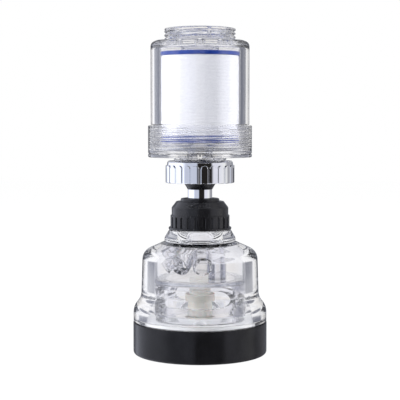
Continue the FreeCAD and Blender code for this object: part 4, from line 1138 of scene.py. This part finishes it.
@dataclass
class SprayHead:
    """Clear bell with its drum, distributor and post."""

    foot: float = 10.2
    skirt_foot: float = 13.2
    skirt_top: float = 19.1
    bell_foot: float = 22.6
    bell_top: float = 41.1
    shoulder_top: float = 45.1
    flange_step: float = 46.6
    flange_top: float = 49.6
    neck_top: float = 57.2
    spigot_radius: float = 24.1
    groove_foot: float = 11.0
    groove_top: float = 12.4
    groove_floor: float = 23.05
    skirt_radius: float = 26.7
    bell_radius: float = 23.6
    bell_top_radius: float = 23.0
    flange_radius: float = 14.2
    flange_top_radius: float = 12.4
    neck_radius: float = 10.2
    cup_radius: float = 8.65
    cup_floor: float = 50.8
    chamber_radius: float = 6.0
    ceiling: float = 42.9
    cavity_radius: float = 18.4
    cavity_bevel: float = 3.4
    cavity_foot_radius: float = 21.5
    flare_foot: float = 17.13
    flare_top: float = 20.63
    floor: float = 14.0
    disc_bore: float = 22.2
    neck_pitch: float = 1.5
    neck_depth: float = 0.45
    thread_end: float = 0.3
    skirt_round: float = 6.0
    waist_round: float = 6.2
    shoulder_round: float = 5.0
    bevel_round: float = 1.0
    cavity_round: float = 2.0
    flare_round: float = 10.0
    flare_foot_round: float = 0.8
    drum_radius: float = 18.1
    drum_step: float = 16.5
    drum_bore: float = 14.5
    drum_top: float = 30.5
    drum_roof: float = 1.8
    roof_round: float = 0.6
    seal_foot: float = 29.1
    seal_top: float = 30.1
    seal_floor: float = 17.3
    frame_width: float = 32.8
    frame_height: float = 11.6
    window_width: float = 27.6
    window_height: float = 8.2
    window_middle: float = 22.8
    window_turn: float = -15.0
    distributor_radius: float = 12.9
    distributor_foot: float = 40.4
    plenum_floor: float = 41.9
    plenum_wall: float = 1.4
    jet_radius: float = 3.6
    jet_bore: float = 2.7
    jet_start: float = 6.868
    jet_level: float = 40.482
    jet_length: float = 9.4
    jet_tilt: float = 60.0
    jet_turns: tuple[float, ...] = (4.0, -31.0, -66.0, -101.0)
    riser_ring: float = 8.9
    riser_turn: float = 48.0
    riser_radius: float = 3.4
    riser_bore: float = 2.2
    post_steps: tuple[tuple[float, float, float], ...] = (
        (4.6, 10.2, 14.0), (5.0, 14.0, 19.8), (6.0, 19.8, 23.8), (4.3, 23.8, 28.6))
    pilot: float = 1.5
    pilot_top: float = 18.5

    def bell_mesh(self) -> bpy.types.Mesh:
        """The clear bell, thick walled, with the threaded neck.

        Returns:
            The mesh, in metres.
        """
        neck = Thread(self.neck_radius, self.flange_top + self.thread_end,
                      self.neck_top - self.thread_end, self.neck_pitch, self.neck_depth)
        section = Section().to(self.disc_bore, self.foot, CRISP).out(self.spigot_radius, SOFT)
        section.up(self.groove_foot, HAIR).out(self.groove_floor, HAIR).up(self.groove_top, HAIR)
        section.out(self.spigot_radius, HAIR).up(self.skirt_foot, HAIR)
        section.out(self.skirt_radius, FULL).up(self.skirt_top, self.skirt_round)
        section.to(self.bell_radius, self.bell_foot, self.waist_round)
        section.to(self.bell_top_radius, self.bell_top, self.shoulder_round)
        section.to(self.flange_radius, self.shoulder_top, FULL).up(self.flange_step, SOFT)
        section.to(self.flange_top_radius, self.flange_top, SOFT)
        section.out(self.neck_radius, CRISP, FINE).up(self.neck_top, SOFT)
        section.out(self.cup_radius, CRISP).up(self.cup_floor, SOFT).out(self.chamber_radius, SOFT)
        section.up(self.ceiling, SOFT)
        section.out(self.cavity_radius - self.cavity_bevel, self.bevel_round)
        section.to(self.cavity_radius, self.ceiling - self.cavity_bevel, self.cavity_round)
        section.up(self.flare_top, self.flare_round)
        section.to(self.cavity_foot_radius, self.flare_foot, self.flare_foot_round)
        section.up(self.floor, CRISP).out(self.disc_bore, CRISP)
        return turned_mesh("head_bell_clear", section, columns=256, relief=neck.cut)

    def drum_mesh(self) -> bpy.types.Mesh:
        """The clear drum with a long framed window front and back.

        Returns:
            The mesh, in metres.
        """
        roof_foot = self.drum_top - self.drum_roof
        section = Section().to(self.drum_bore, self.floor, CRISP).out(self.drum_radius, CRISP)
        section.up(self.seal_foot, HAIR).out(self.seal_floor, HAIR).up(self.seal_top, HAIR)
        section.out(self.drum_radius, HAIR).up(self.drum_top, CRISP).out(0).up(roof_foot)
        section.out(self.drum_bore, self.roof_round)
        drum = turned_mesh("flow_drum_clear", section, columns=240)
        turn = Matrix.Rotation(math.radians(self.window_turn), 4, "Z")
        length = 3 * self.drum_radius
        window = stadium(self.window_width, self.window_height, length, self.window_middle)
        frame_bar = stadium(self.frame_width, self.frame_height, length, self.window_middle)
        section = Section().to(0, self.floor - OVERRUN).out(self.drum_step)
        section.up(self.drum_top + OVERRUN).out(0)
        core = turned_mesh("window_core", section, columns=240)
        recess = carved(frame_bar, [core])
        for mesh in (window, recess):
            mesh.transform(turn)
        hole = drill(self.riser_bore, roof_foot - OVERRUN, self.drum_top + OVERRUN,
                     self.riser_ring, math.radians(self.riser_turn - 90))
        return carved(drum, [recess, window, hole])

    def distributor_mesh(self) -> bpy.types.Mesh:
        """The clear insert: shallow plenum, four slanting jets and the riser.

        Returns:
            The mesh, in metres.
        """
        section = Section().to(0, self.distributor_foot).out(self.distributor_radius, SOFT)
        section.up(self.ceiling).out(0)
        plate = turned_mesh("inlet_distributor_clear", section, columns=192)
        heading = math.radians(self.riser_turn - 90)
        solids = [drill(self.riser_radius, self.drum_top, self.plenum_floor,
                        self.riser_ring, heading)]
        holes = [drill(self.riser_bore, self.drum_top - OVERRUN, self.plenum_floor + OVERRUN,
                       self.riser_ring, heading),
                 drill(self.distributor_radius - self.plenum_wall, self.plenum_floor,
                       self.ceiling + self.jet_radius)]
        for turn in self.jet_turns:
            solids.append(self.slanted(self.jet_radius, turn, self.jet_length, SOFT))
            holes.append(self.slanted(self.jet_bore, turn, self.jet_length + 2 * OVERRUN))
        return carved(carved(plate, solids, "UNION"), holes)

    def slanted(self, radius: float, turn: float, length: float,
                soft: float = 0.0) -> bpy.types.Mesh:
        """A rod that leaves the axis outwards and down by the jets' tilt.

        Args:
            radius: its radius.
            turn: degrees from the front, positive towards +X.
            length: its length.
            soft: fillet at its far end.

        Returns:
            The rod's mesh.
        """
        section = Section().to(0, 0).out(radius).up(length, soft).out(0)
        rod = turned_mesh("jet_rod", section, columns=56)
        lean = Matrix.Rotation(math.radians(180 - self.jet_tilt), 4, "X")
        spin = Matrix.Rotation(math.radians(turn), 4, "Z")
        shift = Matrix.Translation((0, -self.jet_start * MM, self.jet_level * MM))
        rod.transform(spin @ shift @ lean)
        return rod

    def post_mesh(self) -> bpy.types.Mesh:
        """The pale stepped post with its screw pilot.

        Returns:
            The mesh, in metres.
        """
        section = Section().to(self.pilot, self.foot)
        for radius, low, high in self.post_steps:
            section.to(radius, low, TIGHT).up(high, SOFT)
        section.out(0).up(self.pilot_top).out(self.pilot)
        return turned_mesh("centre_post_pale", section, columns=96)

    def build(self, shop: Workshop) -> None:
        """Build and place the pieces of the spray head.

        Args:
            shop: places each piece with its finish.
        """
        clear = Slot.CLEAR
        shop.place("clear_bell", self.bell_mesh(), clear, "head", "head_body")
        shop.place("clear_drum", self.drum_mesh(), clear, "head", "flow_drum")
        shop.place("clear_distributor", self.distributor_mesh(), clear, "head",
                   "inlet_distributor")
        shop.place("pale_post", self.post_mesh(), Slot.PALE, "head", "centre_post")


def stadium(width: float, height: float, length: float, level: float) -> bpy.types.Mesh:
    """A bar with a long round-ended section that runs front to back.

    Args:
        width: the section's width.
        height: the section's height.
        length: how long the bar runs.
        level: height of its middle.

    Returns:
        The bar's mesh.
    """
    arc_steps = 24
    reach, end = (width - height) / 2, height / 2
    rim = []
    for side, start in ((reach, -90.0), (-reach, 90.0)):
        for step in range(arc_steps + 1):
            turn = math.radians(start + 180.0 * step / arc_steps)
            rim.append((side + end * math.cos(turn), level + end * math.sin(turn)))
    count = len(rim)
    places = [(x * MM, y * MM, z * MM) for y in (-length / 2, length / 2) for x, z in rim]
    faces = [tuple(range(count)), tuple(range(2 * count - 1, count - 1, -1))]
    for index in range(count):
        after = (index + 1) % count
        faces.append((index, after, count + after, count + index))
    mesh = bpy.data.meshes.new("window")
    mesh.from_pydata(places, [], faces)
    return cleaned(mesh)


@dataclass
class TurningBase:
    """The black base ring."""

    radius: float = 26.8
    height: float = 12.9
    wall: float = 2.3
    floor: float = 2.2
    mouth: float = 21.5
    foot_round: float = 1.2
    lip_round: float = 0.4

    def ring_mesh(self) -> bpy.types.Mesh:
        """The ring with its rounded foot and lip.

        Returns:
            The mesh, in metres.
        """
        bore = self.radius - self.wall
        section = Section().to(self.mouth, 0, SOFT).out(self.radius, self.foot_round)
        section.up(self.height, self.lip_round).out(bore, SOFT).up(self.floor, CRISP)
        section.out(self.mouth, CRISP)
        return turned_mesh("mode_ring_black", section, columns=256)

    def build(self, shop: Workshop) -> None:
        """Build and place the base ring."""
        shop.place("black_base_ring", self.ring_mesh(), Slot.BLACK_GLOSS, "mode", "mode_ring")


def around(degrees: float) -> float:
    """Place on the room's ramps of a heading from the back, positive towards +X."""
    return degrees / 360.0 + 0.5


NEAR_WHITE = (0.95, 0.95, 0.97)
GREY = (0.25, 0.26, 0.30)
SMOKE = (0.17, 0.18, 0.22)
SHADE = (0.42, 0.43, 0.50)
CREAM = (0.90, 0.88, 0.84)
DARK = (0.02, 0.018, 0.017)
DULL = (0.40, 0.40, 0.44)
HAZE = (0.85, 0.85, 0.95)
DIM_SKY = (0.62, 0.66, 0.80)
PALE_SKY = (1.25, 1.30, 1.50)
CLEAR_WALLS = [
    (-180, WHITE), (-170, WHITE), (-164, SMOKE), (-128, SMOKE), (-120, WHITE), (-108, WHITE),
    (-100, SHADE), (-66, SHADE), (-57, SMOKE), (-31, SMOKE), (-25, WHITE), (-12, CREAM),
    (12, CREAM), (25, WHITE), (31, SMOKE), (57, SMOKE), (66, SHADE), (100, SHADE),
    (108, WHITE), (120, WHITE), (128, SMOKE), (164, SMOKE), (170, WHITE), (180, WHITE)]
MIRROR_WALLS = [
    (-180, DARK), (-173, DARK), (-168, DIM_SKY), (-130, DIM_SKY), (-116, PALE_SKY),
    (-40, PALE_SKY), (-30, GREY), (30, GREY), (40, DULL), (70, DULL), (84, WHITE),
    (118, HAZE), (134, HAZE), (141, DARK), (180, DARK)]


@dataclass(frozen=True)
class Studio:
    """White room with soft boxes at both sides, a pale floor and the camera.

    horizon_row, frame_size and focal_pixels are in pixels of the photo. The three lines are
    heights on a ball of radius 1 round the part, where the room's walls fade out.
    """

    distance: float = 458.0
    eye_height: float = 90.3
    horizon_row: float = 128.0
    frame_size: float = 400.0
    focal_pixels: float = 1146.0
    sensor: float = 36.0
    floor_size: float = 3000.0
    lamp_distance: float = 700.0
    lamp_height: float = 220.0
    aim_height: float = 70.0
    floor_line: tuple[float, float] = (-0.24, -0.17)
    ceiling_line: tuple[float, float] = (0.35, 0.6)
    pit_line: tuple[float, float] = (-0.98, -0.82)
    pit_share: float = 0.85

    def camera(self) -> None:
        """The camera at the photo's height and distance."""
        lens = bpy.data.cameras.new("camera")
        lens.sensor_width = self.sensor
        lens.lens = self.focal_pixels / self.frame_size * self.sensor
        lens.clip_start = 0.01
        eye = in_scene("camera", lens)
        eye.location = (0, -self.distance * MM, self.eye_height * MM)
        down = math.atan((self.frame_size / 2 - self.horizon_row) / self.focal_pixels)
        eye.rotation_euler = (math.pi / 2 - down, 0, 0)
        bpy.context.scene.camera = eye

    def softbox(self, name: str, turn: float, power: float, width: float, tall: float,
                tone: Colour = WHITE) -> None:
        """A large soft lamp that faces the part.

        Args:
            name: the lamp's name.
            turn: degrees from the front, positive towards +X.
            power: watts.
            width: its width.
            tall: its height.
            tone: its colour.
        """
        lamp = bpy.data.lights.new(name, "AREA")
        lamp.shape = "RECTANGLE"
        lamp.size = width * MM
        lamp.size_y = tall * MM
        lamp.energy = power
        lamp.color = tone
        item = in_scene(name, lamp)
        heading = math.radians(turn)
        across = math.sin(heading) * self.lamp_distance
        along = -math.cos(heading) * self.lamp_distance
        item.location = Vector((across, along, self.lamp_height)) * MM
        aim = Vector((0, 0, self.aim_height * MM)) - item.location
        item.rotation_euler = aim.to_track_quat("-Z", "Y").to_euler()
        item.visible_glossy = False
        item.visible_transmission = False
        item.visible_camera = False

    def room(self) -> None:
        """World: white to the camera, walls of white and grey to chrome and clear plastic."""
        world = bpy.data.worlds.new("room")
        bpy.context.scene.world = world
        nodes = NodeTree(world)
        heading = nodes.add("ShaderNodeTexCoord").outputs["Generated"]
        axes = nodes.add("ShaderNodeSeparateXYZ", Vector=heading).outputs
        azimuth = nodes.maths("ARCTAN2", axes["X"], axes["Y"])
        share = nodes.maths("ADD", nodes.maths("DIVIDE", azimuth, FULL_TURN), 0.5)
        mirror, walls = (
            nodes.ramp(share, [(around(degrees), colour) for degrees, colour in stops])
            for stops in (MIRROR_WALLS, CLEAR_WALLS))
        low = nodes.mapped(axes["Z"], self.floor_line, (1.0, 0.0))
        high = nodes.mapped(axes["Z"], self.ceiling_line, (0.0, 1.0))
        steep = nodes.mapped(axes["Z"], self.pit_line, (self.pit_share, 0.0))
        through = nodes.blended(nodes.maths("MAXIMUM", low, high), walls, opaque(WHITE))
        through = nodes.blended(steep, through, opaque(DARK))
        path = nodes.add("ShaderNodeLightPath").outputs
        seen = nodes.blended(path["Is Glossy Ray"], opaque(NEAR_WHITE), mirror)
        seen = nodes.blended(path["Is Transmission Ray"], seen, through)
        seen = nodes.blended(path["Is Camera Ray"], seen, opaque(WHITE))
        back = nodes.add("ShaderNodeBackground", Color=seen, Strength=1.0)
        nodes.add("ShaderNodeOutputWorld", Surface=back.outputs["Background"])

    def floor(self) -> None:
        """Pale floor that keeps the part's soft shadow."""
        half = self.floor_size / 2 * MM
        mesh = bpy.data.meshes.new("floor")
        corners = [(-half, -half, 0), (half, -half, 0), (half, half, 0), (-half, half, 0)]
        mesh.from_pydata(corners, [], [(0, 1, 2, 3)])
        mesh.materials.append(FloorPaper().material("floor_paper"))
        plate = in_scene("floor", mesh)
        plate.visible_transmission = False
        plate.visible_glossy = False

    def build(self) -> None:
        """Set up the camera, lamps, room and floor."""
        self.camera()
        self.softbox("lamp_left", -78.0, 13.0, 500.0, 700.0)
        self.softbox("lamp_right", 80.0, 12.0, 500.0, 700.0)
        self.softbox("lamp_front", 0.0, 3.6, 300.0, 500.0, (0.97, 0.98, 1.0))
        self.room()
        self.floor()
        scene = bpy.context.scene
        scene.view_settings.view_transform = "Standard"
        scene.cycles.caustics_refractive = False
        scene.cycles.caustics_reflective = False
        scene.cycles.max_bounces = 24
        scene.cycles.transmission_bounces = 24
        scene.cycles.glossy_bounces = 8
        scene.cycles.transparent_max_bounces = 24


def main() -> None:
    """Build the studio and the pieces in order."""
    logging.basicConfig(level=logging.INFO, format="%(message)s")
    Studio().build()
    shop = Workshop()
    shop.dress_nodes()
    for assembly in (FilterUnit(), Swivel(), SprayHead(), TurningBase()):
        assembly.build(shop)


if __name__ == "__main__":
    main()
